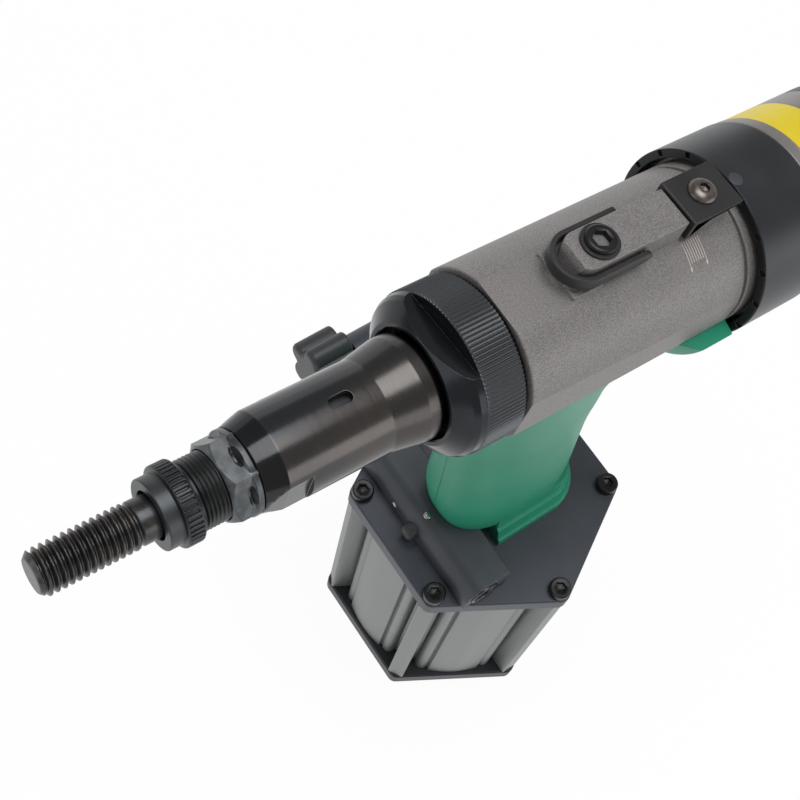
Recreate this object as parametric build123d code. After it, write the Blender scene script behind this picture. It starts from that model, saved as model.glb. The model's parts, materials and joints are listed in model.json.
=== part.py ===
from build123d import *
import math
import os

# Frame: the origin is the centre of the base's underside, +Z is up, -Y is forward (the nose)
# and +X is the operator's left. All lengths are in millimetres.
# The head's pieces are drawn in the head frame, whose Y axis is the tool axis, pointing back,
# and whose origin is where that axis crosses the upright axis of the grip.
HEAD_HEIGHT = 278.0
HEAD_TILT = 8.27
HEAD = Pos(0, 0, HEAD_HEIGHT) * Rot(-HEAD_TILT, 0, 0)

# Clearances
RUNNING_FIT = 0.05
SEAT_GAP = 0.15
FACE_GAP = 0.2

# Base: two plates, an extruded air cylinder and its screws
PLATE_APOTHEM = 47.7
PLATE_CORNER_RADIUS = 4.0
PLATE_THICKNESS = 8.0
BOLT_CIRCLE_RADIUS = 49.5
BASE_CYLINDER_LENGTH = 104.2
GASKET_THICKNESS = 0.6
AIR_BORE_RADIUS = 40.5
CYLINDER_WALL = 2.7
CYLINDER_BULGE_RADIUS = 46.3
BULGE_HALF_ANGLE = 15.0
COLUMN_HALF_WIDTH = 3.7
COLUMN_REACH = 53.2
COLUMN_ROUND = 1.6
LOBE_ANGLE = 11.0
LOBE_RADIUS = 3.3
PLATE_EDGE_CHAMFER = 0.8
SCREW_COUNT = 6
SCREW_RADIUS = 2.5
SCREW_HEAD_RADIUS = 4.4
SCREW_HEAD_HEIGHT = 3.6
SCREW_LENGTH = 22.0
SCREW_SOCKET_FLATS = 4.0
SCREW_SOCKET_DEPTH = 2.0
CAP_SCREW_EDGE = 0.6

CYLINDER_Z0 = PLATE_THICKNESS + GASKET_THICKNESS
CYLINDER_Z1 = CYLINDER_Z0 + BASE_CYLINDER_LENGTH
TOP_PLATE_Z0 = CYLINDER_Z1 + GASKET_THICKNESS
PLATE_TOP = TOP_PLATE_Z0 + PLATE_THICKNESS

# Air piston and pump
AIR_PISTON_THICKNESS = 14.0
AIR_PISTON_REST_Z = CYLINDER_Z0 + 3.0
PISTON_SEAL_WIDTH = 4.0
PISTON_SEAL_DEPTH = 3.0
PUMP_ROD_RADIUS = 6.0
PUMP_ROD_TOP = 152.0
PUMP_TUBE_RADIUS = 12.4
PUMP_TUBE_TOP = HEAD_HEIGHT - 28.0
PUMP_TUBE_END_WALL = 10.0
OIL_PASSAGE_RADIUS = 3.0
ROD_NUT_RADIUS = 8.5
ROD_NUT_THICKNESS = 4.0
ROD_SEAL_LENGTH = 5.0
ROD_SEAL_DEPTH = 2.2

# Valve block on the top plate, with its button, inlet and regulator
BLOCK_FRONT = -36.5
BLOCK_BACK = -16.5
BLOCK_LEFT_END = 35.5
BLOCK_RIGHT_END = -44.0
BLOCK_HEIGHT = 14.0
BLOCK_RIDGE_RADIUS = 8.0
BLOCK_ARM_WIDTH = 12.0
BLOCK_ARM_BACK = 0.5
INLET_BUSH_RADIUS = 6.0
INLET_THREAD_RADIUS = 4.28
INLET_BUSH_LENGTH = 12.0
INLET_Y = -28.0
INLET_LIP = 0.8
AIR_GALLERY_RADIUS = 2.6
AIR_GALLERY_LENGTH = 34.0
BUTTON_RADIUS = 3.4
BUTTON_REACH = 4.6
BUTTON_TRAVEL = 2.5
BUTTON_HOLE_DEPTH = 16.0
BUTTON_SPRING_ROOM = 5.1
BUTTON_HEIGHT = 6.4
PLUG_RADIUS = 1.6
PLUG_LENGTH = 3.0
FRONT_PLUG_X = -12.5
TOP_PLUG_Y = -31.0
REGULATOR_X = -73.0
REGULATOR_RISE = 9.0
REGULATOR_RADIUS = 9.2
REGULATOR_BACK = 0.0
REGULATOR_FRONT = -16.5
REGULATOR_PIPE_RADIUS = 6.0
REGULATOR_PIPE_Y = -11.6
REGULATOR_PIPE_SEAT = 3.0
REGULATOR_ROUND = 2.0
REGULATOR_STEM = 12.0
KNOB_LOBES = 6
KNOB_LOBE_RADIUS = 4.6
KNOB_LOBE_CIRCLE = 11.6
KNOB_CORE_RADIUS = 12.2
KNOB_BACK = -18.2
KNOB_FRONT = -36.5
KNOB_EDGE = 2.2
KNOB_STEM_RADIUS = 3.5

# Grip
GRIP_WALL = 3.0
GRIP_EXPONENT = 2.6
GRIP_POINTS = 16
WORK_SPACE = 400.0
FOOT_HALF_WIDTH = 21.8
FOOT_FRONT = -10.0
FOOT_ARC_Y = 18.0
FOOT_ARC_REACH = 18.0
FOOT_HEIGHT = 4.6
FOOT_STEP_INSET = 2.4
FOOT_STEP_HEIGHT = 5.6
FOOT_STEP_TOP_INSET = 3.4
FOOT_WAIST_LAP = 6.0
FOOT_EDGE = 1.0
SADDLE_START = 24.0
SADDLE_FLARE_END = 31.0
SADDLE_END = 44.6
SADDLE_WALL = 5.1
SADDLE_LAP = 1.6
SADDLE_HALF_ANGLE = 74.0

# Trigger
TRIGGER_HALF_WIDTH = 6.6
TRIGGER_SLOT_GAP = 0.5
TRIGGER_PIN_Y = -30.0
TRIGGER_PIN_Z = HEAD_HEIGHT - 33.0
TRIGGER_PIN_RADIUS = 1.5
TRIGGER_PIN_LENGTH = 30.0
TRIGGER_BOSS = 3.6
TRIGGER_BOTTOM = TRIGGER_PIN_Z - 18.0
TRIGGER_BACK = -31.4
TRIGGER_TOE = -44.6
TRIGGER_FRONT = -49.4
TRIGGER_CROWN = -45.0
TRIGGER_SLOT_BACK = -22.0
TRIGGER_SLOT_BOTTOM = TRIGGER_PIN_Z - 27.0
TRIGGER_SLOT_TOP = TRIGGER_PIN_Z + TRIGGER_BOSS + 1.4
PLUNGER_RADIUS = 2.2
PLUNGER_Z = TRIGGER_PIN_Z - 14.0
PLUNGER_FRONT = TRIGGER_BACK + 0.25
PLUNGER_BACK = -16.4
PLUNGER_HEAD_RADIUS = 3.4
PLUNGER_HEAD_THICKNESS = 1.8
VALVE_BUSH_RADIUS = 4.5
VALVE_BUSH_FRONT = -22.0
VALVE_BUSH_BACK = -12.6
VALVE_BUSH_FLOOR = 0.6
SMALL_COIL_RADIUS = 3.0
SMALL_WIRE_RADIUS = 0.3
SMALL_TURNS = 3

# Head casting, along the tool axis (Y in the head frame)
HEAD_RADIUS = 26.2
HEAD_FRONT = -41.5
HEAD_EDGE = 0.5
HEAD_REAR = 42.5
TOP_FLAT_Z = 24.6
TOP_FLAT_BACK = -21.1
SIDE_FLAT_X = 24.5
SIDE_FLAT_DRAFT = 0.9
RING_THREAD_RADIUS = HEAD_RADIUS - 3.7
RING_THREAD_FRONT = -52.2
HYDRAULIC_RADIUS = HEAD_RADIUS - 5.2
HYDRAULIC_FRONT = -28.0
REAR_CAVITY_RADIUS = HEAD_RADIUS - 3.7
REAR_CAVITY_FRONT = 22.0
STEP_GROOVE_RADIUS = HEAD_RADIUS - 1.4
STEP_GROOVE_BACK = 44.0
STEP_RING_RADIUS = HEAD_RADIUS
STEP_RING_BACK = 50.0
SLEEVE_THREAD_RADIUS = HEAD_RADIUS + 0.9
HEAD_SPIGOT_END = 64.0
HEAD_NECK_RADIUS = 15.5
HEAD_NECK_BOTTOM = HEAD_HEIGHT - 40.0
RIB_ROOT = 15.0
RIB_HALF_WIDTH = 6.6
RIB_TOP = 34.3
RIB_REAR = 21.0
RIB_FRONT_TOP = -17.9
RIB_FRONT_BOTTOM = -20.2
PLATFORM_HALF_WIDTH = 8.6
PLATFORM_TOP = 26.3
PLATFORM_BACK = -10.0
PAD_FRONT = 24.6
PAD_BACK = 41.0
PAD_HALF_WIDTH = 6.2
PAD_TOP = 34.9
REAR_SPOT_FRONT = 36.5
REAR_SPOT_X = 24.3
REAR_SPOT_HALF = 7.0

# Oil filler plug in the boss
OIL_PLUG_Y = -8.6
OIL_PLUG_RADIUS = 4.0
OIL_PLUG_HEAD_RADIUS = 4.9
OIL_PLUG_HEAD_HEIGHT = 1.3
OIL_PLUG_DEPTH = 9.0
OIL_PLUG_SOCKET_FLATS = 5.0
OIL_PLUG_SOCKET_DEPTH = 4.0
PLUG_SEAL_RADIUS = 6.0
PLUG_SEAL_THICKNESS = 0.9

# Hanging bail round the boss
BAIL_PIVOT_Y = 3.8
BAIL_PIVOT_Z = 30.2
BAIL_INNER_HALF = 7.2
BAIL_THICKNESS = 1.9
BAIL_HEIGHT = 4.4
BAIL_BEND_Y = -14.5
BAIL_PIN_RADIUS = 1.5
BAIL_PIN_DEPTH = 2.2

# Lock plate and its button-head screw
LOCK_PLATE_FRONT = 22.2
LOCK_PLATE_BACK = 42.2
LOCK_PLATE_HALF_WIDTH = 8.7
LOCK_PLATE_THICKNESS = 1.6
LOCK_PLATE_FLANGE_BOTTOM = 25.6
LOCK_SCREW_Y = 31.5
LOCK_SCREW_RADIUS = 2.4
LOCK_SCREW_HEAD_RADIUS = 4.6
LOCK_SCREW_HEAD_HEIGHT = 2.5
LOCK_SCREW_DEPTH = 11.0
LOCK_SCREW_SOCKET_FLATS = 3.0
LOCK_SCREW_SOCKET_DEPTH = 1.6

# Stroke adjuster sleeve and the motor housing behind it
SLEEVE_FRONT = 46.2
SLEEVE_BACK = 72.6
SLEEVE_RADIUS = HEAD_RADIUS + 4.6
SLEEVE_MOUTH_RADIUS = HEAD_RADIUS + 1.7
SLEEVE_MOUTH_BACK = 51.5
SLEEVE_NOTCHES = 16
SLEEVE_NOTCH_WIDTH = 2.6
SLEEVE_NOTCH_DEPTH = 2.2
SLEEVE_CHAMFER = 0.7
COLLAR_FRONT = 72.8
COLLAR_BACK = 76.8
COLLAR_RADIUS = SLEEVE_RADIUS - 0.3
HOUSING_RADIUS = SLEEVE_RADIUS - 0.5
HOUSING_BACK = 106.0
HOUSING_SPIGOT_RADIUS = HEAD_RADIUS + 0.8
BAND_FRONT = 77.6
BAND_BACK = 93.0
BAND_THICKNESS = 0.35
CAP_BACK = 117.0
CAP_EDGE_RADIUS = 4.0
CAP_WALL = 3.0
CAP_SLOTS = 18
CAP_SLOT_WIDTH = 2.0
CAP_SLOT_INNER = 13.0
CAP_SLOT_OUTER = 21.0
CAP_SCREWS = 4
CAP_SCREW_CIRCLE = HEAD_RADIUS + 0.2
CAP_SCREW_SINK = 3.2
CAP_SCREW_RADIUS = 1.4
CAP_SCREW_HEAD_RADIUS = 2.4
CAP_SCREW_LENGTH = 12.0

# Nose: mandrel, anvil, lock nut, housing and ring nut
MANDREL_TIP = -177.8
MANDREL_THREAD_RADIUS = 6.35
MANDREL_TIP_RADIUS = 5.0
MANDREL_THREAD_BACK = -151.4
MANDREL_UNDERCUT_RADIUS = 5.4
MANDREL_SHANK_FRONT = -150.2
MANDREL_SHANK_RADIUS = 6.1
MANDREL_HEAD_FRONT = -100.0
MANDREL_HEAD_BACK = -88.0
MANDREL_HEAD_RADIUS = 9.3
MANDREL_SOCKET_FLATS = 9.0
MANDREL_SOCKET_DEPTH = 7.5
ANVIL_FRONT = -145.2
ANVIL_COLLAR_RADIUS = 10.0
ANVIL_BAND_FRONT = -141.0
ANVIL_BAND_BACK = -135.8
ANVIL_BAND_RADIUS = 11.5
ANVIL_BAND_SLOTS = 44
ANVIL_SLOT_DEPTH = 0.6
ANVIL_SLOT_WIDTH = 0.85
ANVIL_SLOT_MARGIN = 0.7
ANVIL_GROOVE_RADIUS = 9.3
ANVIL_GROOVE_BACK = -134.4
ANVIL_THREAD_RADIUS = 9.9
ANVIL_BACK = -107.5
ANVIL_BORE_RADIUS = 6.9
NUT_FRONT = -127.6
NUT_BACK = -119.2
NUT_APOTHEM = 10.9
NUT_FLANGE_RADIUS = 12.4
NUT_FLANGE_FRONT = -120.9
NOSE_FRONT = -119.0
NOSE_FRONT_RADIUS = 12.4
NOSE_CHAMFER_BACK = -112.6
NOSE_RADIUS = 14.2
NOSE_FLARE_FRONT = -79.2
NOSE_FLARE_BACK = -68.6
NOSE_FLARE_RADIUS = 16.1
NOSE_SHOULDER = -64.4
NOSE_SHOULDER_ROUND = 0.9
NOSE_NECK_RADIUS = 14.6
NOSE_FLANGE_FRONT = -56.2
NOSE_FLANGE_BACK = -52.4
NOSE_FLANGE_RADIUS = 19.4
NOSE_SPIGOT_BACK = -50.0
NOSE_SPIGOT_RADIUS = 14.3
NOSE_BORE_RADIUS = 12.3
NOSE_THREAD_BACK = -105.3
NOSE_FLAT_X = 12.7
NOSE_FLAT_BACK = -105.4
NOSE_SLOT_Y = -90.5
NOSE_SLOT_LENGTH = 7.2
NOSE_SLOT_WIDTH = 3.7
RING_FRONT = -63.8
RING_LIP_BACK = -56.4
RING_LIP_RADIUS = 17.0
RING_FACE_RADIUS = 18.6
RING_SLOPE_Y = -60.0
RING_SLOPE_RADIUS = 23.5
RING_SHOULDER_Y = -58.4
RING_SHOULDER_RADIUS = 24.5
RING_KNURL_FRONT = -56.4
RING_KNURL_BACK = -43.0
RING_RADIUS = HEAD_RADIUS - 1.0
RING_BACK = -41.7
RING_BACK_RADIUS = 24.0
RING_FLAT_DISTANCE = 18.9
RING_FLAT_ANGLE = -5.0

# Draw train inside the head
ADAPTER_FRONT = -105.1
ADAPTER_BACK = -74.0
ADAPTER_RADIUS = 12.1
ADAPTER_LIP_RADIUS = 6.3
ADAPTER_BORE_RADIUS = 9.5
SPINDLE_NOSE_FRONT = -94.5
SPINDLE_THREAD_FRONT = -87.6
SPINDLE_COLLAR_FRONT = -73.8
SPINDLE_COLLAR_BACK = -68.0
SPINDLE_COLLAR_RADIUS = 12.0
SPINDLE_RADIUS = 8.4
SPINDLE_NUT_FRONT = 28.3
SPINDLE_NUT_BACK = 33.0
SPINDLE_NUT_RADIUS = 13.0
SPINDLE_SOCKET_FLATS = 8.0
SPINDLE_SOCKET_FRONT = 11.0
PISTON_FRONT = -22.0
PISTON_BACK = -8.0
PISTON_SLEEVE_RADIUS = 12.0
PISTON_SLEEVE_FRONT = -38.0
PISTON_SLEEVE_BACK = 24.0
DRAW_STROKE = 7.0
RING_SEAL_WIDTH = 3.0
RING_SEAL_DEPTH = 2.2
GLAND_FRONT = 14.0
BEARING_BACK = 28.1
BEARING_OUTER = 13.4
SPRING_COIL_RADIUS = 16.2
SPRING_WIRE_RADIUS = 1.25
SPRING_TURNS = 4

# Planetary gear and air motor
GEAR_MODULE = 0.9
SUN_TEETH = 12
PLANET_TEETH = 15
RING_TEETH = 42
PLANET_COUNT = 3
GEAR_FRONT = 49.0
GEAR_BACK = 57.0
RING_GEAR_RADIUS = 22.4
TOOTH_BACKLASH = 0.22
TOOTH_TIP = 0.8
TOOTH_ROOT = 1.15
CARRIER_FRONT = 44.0
CARRIER_BACK = 48.5
CARRIER_RADIUS = 17.0
CARRIER_PIN_RADIUS = 2.0
DRIVE_HEX_FRONT = 20.0
SUN_SHAFT_RADIUS = 3.6
END_PLATE_THICKNESS = 4.0
END_PLATE_RADIUS = 22.3
MOTOR_FRONT = 66.0
MOTOR_BACK = 94.0
MOTOR_LINER_RADIUS = 22.3
MOTOR_BORE_RADIUS = 17.0
ROTOR_RADIUS = 15.2
ROTOR_OFFSET = 1.6
ROTOR_END_GAP = 0.3
VANES = 5
VANE_THICKNESS = 1.6
VANE_DEPTH = 8.0
VANE_SIDE_GAP = 0.1
MOTOR_BEARING_RADIUS = 8.0
MOTOR_BEARING_BORE = 3.7


def turned(profile):
    """A solid turned about the tool axis from (y, radius) points."""
    return revolve(make_face(Polyline(*[(r, y) for y, r in profile], close=True)), Axis.Y)


def tube_y(y0, y1, outer, inner=0.0):
    """A round bar or tube along the tool axis."""
    return turned([(y0, inner), (y0, outer), (y1, outer), (y1, inner)])


def upright(profile):
    """A solid turned about the upright axis from (radius, z) points."""
    outline = Polyline(*[(r, 0, z) for r, z in profile], close=True)
    return revolve(make_face(outline), Axis.Z)


def tube_z(z0, z1, outer, inner=0.0):
    """A round bar or tube along the upright axis."""
    return upright([(inner, z0), (outer, z0), (outer, z1), (inner, z1)])


def hex_y(y0, y1, flats):
    """A hexagonal bar along the tool axis, measured across its flats."""
    section = Plane.XZ * RegularPolygon(flats / 2, 6, major_radius=False)
    return Pos(0, y0, 0) * extrude(section, amount=-(y1 - y0))


def hex_z(z0, z1, flats):
    """A hexagonal bar along the upright axis, measured across its flats."""
    return Pos(0, 0, z0) * extrude(RegularPolygon(flats / 2, 6, major_radius=False), amount=z1 - z0)


def block(x0, x1, y0, y1, z0, z1):
    """A box between two corners."""
    return Pos((x0 + x1) / 2, (y0 + y1) / 2, (z0 + z1) / 2) * Box(x1 - x0, y1 - y0, z1 - z0)


def rod_x(x0, x1, y, z, radius):
    """A round bar across the tool, centred on (y, z)."""
    return Pos((x0 + x1) / 2, y, z) * Rot(0, 90, 0) * Cylinder(radius, x1 - x0)


def rod_y(y0, y1, x, z, radius):
    """A round bar along Y, centred on (x, z)."""
    return Pos(x, (y0 + y1) / 2, z) * Rot(90, 0, 0) * Cylinder(radius, y1 - y0)


def rod_z(z0, z1, x, y, radius):
    """A round bar along Z, centred on (x, y)."""
    return Pos(x, y, (z0 + z1) / 2) * Cylinder(radius, z1 - z0)


def round_y(count, first=0.0):
    """Angles that share out a full turn about the tool axis."""
    return [first + 360 * i / count for i in range(count)]


def bolt_places():
    """The six screw centres of the base, the first pair either side of the front."""
    angles = [math.radians(-90 + 30 + 60 * i) for i in range(SCREW_COUNT)]
    return [(BOLT_CIRCLE_RADIUS * math.cos(a), BOLT_CIRCLE_RADIUS * math.sin(a)) for a in angles]


# Base

def plate_outline():
    """The six-sided plate with a rounded corner at each screw."""
    hexagon = Rot(0, 0, 60) * RegularPolygon(PLATE_APOTHEM, 6, major_radius=False)
    return fillet(hexagon.vertices(), PLATE_CORNER_RADIUS)


def bottom_plate():
    body = extrude(plate_outline(), amount=PLATE_THICKNESS)
    body = chamfer(body.faces().sort_by(Axis.Z)[-1].edges(), PLATE_EDGE_CHAMFER)
    for x, y in bolt_places():
        body -= rod_z(0, PLATE_THICKNESS, x, y, SCREW_RADIUS + SEAT_GAP)
        body -= rod_z(0, SCREW_HEAD_HEIGHT + FACE_GAP, x, y, SCREW_HEAD_RADIUS + SEAT_GAP)
    return body


def gasket(z0):
    return tube_z(z0, z0 + GASKET_THICKNESS, AIR_BORE_RADIUS + CYLINDER_WALL, AIR_BORE_RADIUS)


def sector(radius, half_angle):
    """The part of a disc within an angle either side of +X."""
    angle = math.radians(half_angle)
    reach = 2 * radius
    wedge = Polyline((0, 0), (reach, reach * math.tan(angle)), (reach, -reach * math.tan(angle)), close=True)
    return Circle(radius) & make_face(wedge)


def screw_column():
    """Section of one corner column, with rounded outer corners."""
    inner = AIR_BORE_RADIUS + CYLINDER_WALL / 2
    bar = Pos((inner + COLUMN_REACH) / 2, 0) * Rectangle(COLUMN_REACH - inner, 2 * COLUMN_HALF_WIDTH)
    return fillet(bar.vertices().group_by(Axis.X)[-1], COLUMN_ROUND)


def cylinder_body():
    """Extruded air cylinder: a bulging wall on each side, a column at each screw and a lobe between."""
    wall = AIR_BORE_RADIUS + CYLINDER_WALL
    section = Circle(wall)
    for index in range(SCREW_COUNT):
        corner = Rot(0, 0, 360 / SCREW_COUNT * index)
        section += corner * screw_column()
        section += corner * (Rot(0, 0, 180 / SCREW_COUNT) * sector(CYLINDER_BULGE_RADIUS, BULGE_HALF_ANGLE))
        for side in (-1, 1):
            lobe = Pos(CYLINDER_BULGE_RADIUS - LOBE_RADIUS, 0) * Circle(LOBE_RADIUS)
            section += corner * (Rot(0, 0, side * LOBE_ANGLE) * lobe)
    section -= Circle(AIR_BORE_RADIUS)
    for x, y in bolt_places():
        section -= Pos(x, y) * Circle(SCREW_RADIUS + RUNNING_FIT)
    return Pos(0, 0, CYLINDER_Z0) * extrude(section, amount=BASE_CYLINDER_LENGTH)


def top_plate():
    plate = Pos(0, 0, TOP_PLATE_Z0) * extrude(plate_outline(), amount=PLATE_THICKNESS)
    plate = chamfer(plate.faces().sort_by(Axis.Z)[-1].edges(), PLATE_EDGE_CHAMFER)
    plate -= tube_z(TOP_PLATE_Z0, PLATE_TOP, PUMP_TUBE_RADIUS + SEAT_GAP)
    for x, y in bolt_places():
        plate -= rod_z(TOP_PLATE_Z0, PLATE_TOP, x, y, SCREW_RADIUS + SEAT_GAP)
    return plate


def cap_screw(radius, head_radius, head_height, length, flats, depth):
    """A hexagon-socket screw, its head's underside at z = 0 and its shank below."""
    head = chamfer(tube_z(0, head_height, head_radius).edges().group_by(Axis.Z)[-1], CAP_SCREW_EDGE)
    return head + tube_z(-length, 0, radius) - hex_z(head_height - depth, head_height, flats)


def base_screw():
    return cap_screw(SCREW_RADIUS, SCREW_HEAD_RADIUS, SCREW_HEAD_HEIGHT, SCREW_LENGTH,
                     SCREW_SOCKET_FLATS, SCREW_SOCKET_DEPTH)


def top_screws():
    return [Pos(x, y, PLATE_TOP) * base_screw() for x, y in bolt_places()]


def bottom_screws():
    seat = SCREW_HEAD_HEIGHT + FACE_GAP
    return [Pos(x, y, seat) * Rot(180, 0, 0) * base_screw() for x, y in bolt_places()]


def air_piston():
    z0 = AIR_PISTON_REST_Z
    z1 = z0 + AIR_PISTON_THICKNESS
    outer = AIR_BORE_RADIUS - RUNNING_FIT
    groove = outer - PISTON_SEAL_DEPTH
    seal0 = z0 + (AIR_PISTON_THICKNESS - PISTON_SEAL_WIDTH) / 2
    disc = upright([(PUMP_ROD_RADIUS, z0), (outer, z0), (outer, seal0), (groove, seal0),
                    (groove, seal0 + PISTON_SEAL_WIDTH), (outer, seal0 + PISTON_SEAL_WIDTH),
                    (outer, z1), (PUMP_ROD_RADIUS, z1)])
    return disc


def piston_seal():
    z0 = AIR_PISTON_REST_Z + (AIR_PISTON_THICKNESS - PISTON_SEAL_WIDTH) / 2
    outer = AIR_BORE_RADIUS - RUNNING_FIT
    return tube_z(z0, z0 + PISTON_SEAL_WIDTH, outer, outer - PISTON_SEAL_DEPTH)


def pump_rod():
    z1 = AIR_PISTON_REST_Z + AIR_PISTON_THICKNESS
    return tube_z(AIR_PISTON_REST_Z, PUMP_ROD_TOP, PUMP_ROD_RADIUS) + \
        tube_z(z1, z1 + ROD_NUT_THICKNESS, ROD_NUT_RADIUS)


def pump_tube():
    """Steel pump cylinder in the grip, from the top plate to the head's neck."""
    bore = PUMP_ROD_RADIUS + RUNNING_FIT
    bore_top = PUMP_TUBE_TOP - PUMP_TUBE_END_WALL
    seal_top = TOP_PLATE_Z0 + ROD_SEAL_LENGTH
    return upright([(bore + ROD_SEAL_DEPTH, TOP_PLATE_Z0), (PUMP_TUBE_RADIUS, TOP_PLATE_Z0),
                    (PUMP_TUBE_RADIUS, PUMP_TUBE_TOP), (OIL_PASSAGE_RADIUS, PUMP_TUBE_TOP),
                    (OIL_PASSAGE_RADIUS, bore_top), (bore, bore_top), (bore, seal_top),
                    (bore + ROD_SEAL_DEPTH, seal_top)])


def rod_seal():
    bore = PUMP_ROD_RADIUS + RUNNING_FIT
    return tube_z(TOP_PLATE_Z0, TOP_PLATE_Z0 + ROD_SEAL_LENGTH, bore + ROD_SEAL_DEPTH, bore)


# Valve block

def valve_block():
    """Air valve block across the front of the plate, with an arm back to the regulator."""
    z1 = PLATE_TOP + BLOCK_HEIGHT
    bar = block(BLOCK_RIGHT_END, BLOCK_LEFT_END, BLOCK_FRONT, BLOCK_BACK, PLATE_TOP, z1)
    ridge = bar.edges().filter_by(Axis.X).group_by(Axis.Z)[-1].sort_by(Axis.Y)[0]
    bar = fillet(ridge, BLOCK_RIDGE_RADIUS)
    arm_x1 = BLOCK_RIGHT_END + BLOCK_ARM_WIDTH
    bar += block(BLOCK_RIGHT_END, arm_x1, BLOCK_BACK - 1, BLOCK_ARM_BACK, PLATE_TOP, z1)
    port_z = PLATE_TOP + BLOCK_HEIGHT / 2
    port_end = BLOCK_LEFT_END - INLET_BUSH_LENGTH
    bar -= rod_x(port_end, BLOCK_LEFT_END, INLET_Y, port_z, INLET_BUSH_RADIUS + RUNNING_FIT)
    bar -= rod_x(port_end - AIR_GALLERY_LENGTH, port_end, INLET_Y, port_z, AIR_GALLERY_RADIUS)
    bar -= rod_y(BLOCK_FRONT, BLOCK_FRONT + BUTTON_HOLE_DEPTH, 0, PLATE_TOP + BUTTON_HEIGHT,
                 BUTTON_RADIUS + RUNNING_FIT)
    bar -= rod_y(BLOCK_FRONT, BLOCK_FRONT + PLUG_LENGTH, FRONT_PLUG_X, PLATE_TOP + BLOCK_HEIGHT / 3,
                 PLUG_RADIUS)
    bar -= rod_z(z1 - PLUG_LENGTH, z1, 0, TOP_PLUG_Y, PLUG_RADIUS)
    bar -= rod_x(BLOCK_RIGHT_END, BLOCK_RIGHT_END + REGULATOR_PIPE_SEAT, REGULATOR_PIPE_Y,
                 PLATE_TOP + BLOCK_HEIGHT / 2, REGULATOR_PIPE_RADIUS)
    return bar


def channel_plugs():
    """Two steel plugs that close drilled air channels, with domed ends."""
    dome = PLUG_RADIUS / 2
    top = rod_z(0, PLUG_LENGTH, 0, 0, PLUG_RADIUS)
    top = fillet(top.edges().group_by(Axis.Z)[-1], dome)
    upper = Pos(0, TOP_PLUG_Y, PLATE_TOP + BLOCK_HEIGHT - PLUG_LENGTH + dome / 2) * top
    front = Pos(FRONT_PLUG_X, BLOCK_FRONT + PLUG_LENGTH - dome / 2,
                PLATE_TOP + BLOCK_HEIGHT / 3) * Rot(90, 0, 0) * top
    return [upper, front]


def inlet_bush():
    """Threaded steel bush that takes the air supply."""
    z = PLATE_TOP + BLOCK_HEIGHT / 2
    x0 = BLOCK_LEFT_END - INLET_BUSH_LENGTH
    x1 = BLOCK_LEFT_END + INLET_LIP
    body = rod_x(x0, x1, INLET_Y, z, INLET_BUSH_RADIUS)
    return body - rod_x(x0, x1, INLET_Y, z, INLET_THREAD_RADIUS)


def reverse_button():
    """Push button on the front of the block."""
    length = BUTTON_REACH + BUTTON_HOLE_DEPTH - BUTTON_SPRING_ROOM
    button = rod_z(0, length, 0, 0, BUTTON_RADIUS)
    button = fillet(button.edges().group_by(Axis.Z)[-1], BUTTON_RADIUS / 2)
    back = BLOCK_FRONT - BUTTON_REACH + length
    return Pos(0, back, PLATE_TOP + BUTTON_HEIGHT) * Rot(90, 0, 0) * button


def small_spring(length):
    """A light coil spring that starts at the origin and runs along +Y."""
    height = length - 2 * SMALL_WIRE_RADIUS
    path = Helix(height / SMALL_TURNS, height, SMALL_COIL_RADIUS)
    wire = Plane(path @ 0, z_dir=path % 0) * Circle(SMALL_WIRE_RADIUS)
    coil = sweep(wire, path=path, is_frenet=True)
    return Pos(0, SMALL_WIRE_RADIUS, 0) * Rot(-90, 0, 0) * coil


def button_spring():
    room = BUTTON_SPRING_ROOM - 2 * SEAT_GAP
    y0 = BLOCK_FRONT + BUTTON_HOLE_DEPTH - BUTTON_SPRING_ROOM + SEAT_GAP
    return Pos(0, y0, PLATE_TOP + BUTTON_HEIGHT) * small_spring(room)


def regulator_body():
    """Round pressure regulator beside the plate, piped into the block's arm."""
    z = PLATE_TOP + REGULATOR_RISE
    drum = rod_y(REGULATOR_FRONT, REGULATOR_BACK, REGULATOR_X, z, REGULATOR_RADIUS)
    drum = fillet(drum.edges().group_by(Axis.Y)[-1], REGULATOR_ROUND)
    pipe = rod_x(REGULATOR_X, BLOCK_RIGHT_END + REGULATOR_PIPE_SEAT, REGULATOR_PIPE_Y,
                 PLATE_TOP + BLOCK_HEIGHT / 2, REGULATOR_PIPE_RADIUS)
    stem = rod_y(REGULATOR_FRONT - REGULATOR_STEM, REGULATOR_FRONT, REGULATOR_X, z, KNOB_STEM_RADIUS)
    return drum + pipe + stem


def star_knob():
    """Lobed hand knob on the regulator's stem."""
    section = Circle(KNOB_CORE_RADIUS)
    for angle in round_y(KNOB_LOBES, 15.0):
        section += Rot(0, 0, angle) * (Pos(KNOB_LOBE_CIRCLE, 0) * Circle(KNOB_LOBE_RADIUS))
    knob = extrude(section, amount=KNOB_BACK - KNOB_FRONT)
    knob = fillet(knob.faces().sort_by(Axis.Z)[-1].edges(), KNOB_EDGE)
    knob = Rot(90, 0, 0) * knob
    knob = Pos(REGULATOR_X, KNOB_BACK, PLATE_TOP + REGULATOR_RISE) * knob
    stem_front = REGULATOR_FRONT - REGULATOR_STEM - FACE_GAP
    return knob - rod_y(stem_front, KNOB_BACK, REGULATOR_X, PLATE_TOP + REGULATOR_RISE,
                        KNOB_STEM_RADIUS + RUNNING_FIT)


# Grip

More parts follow.
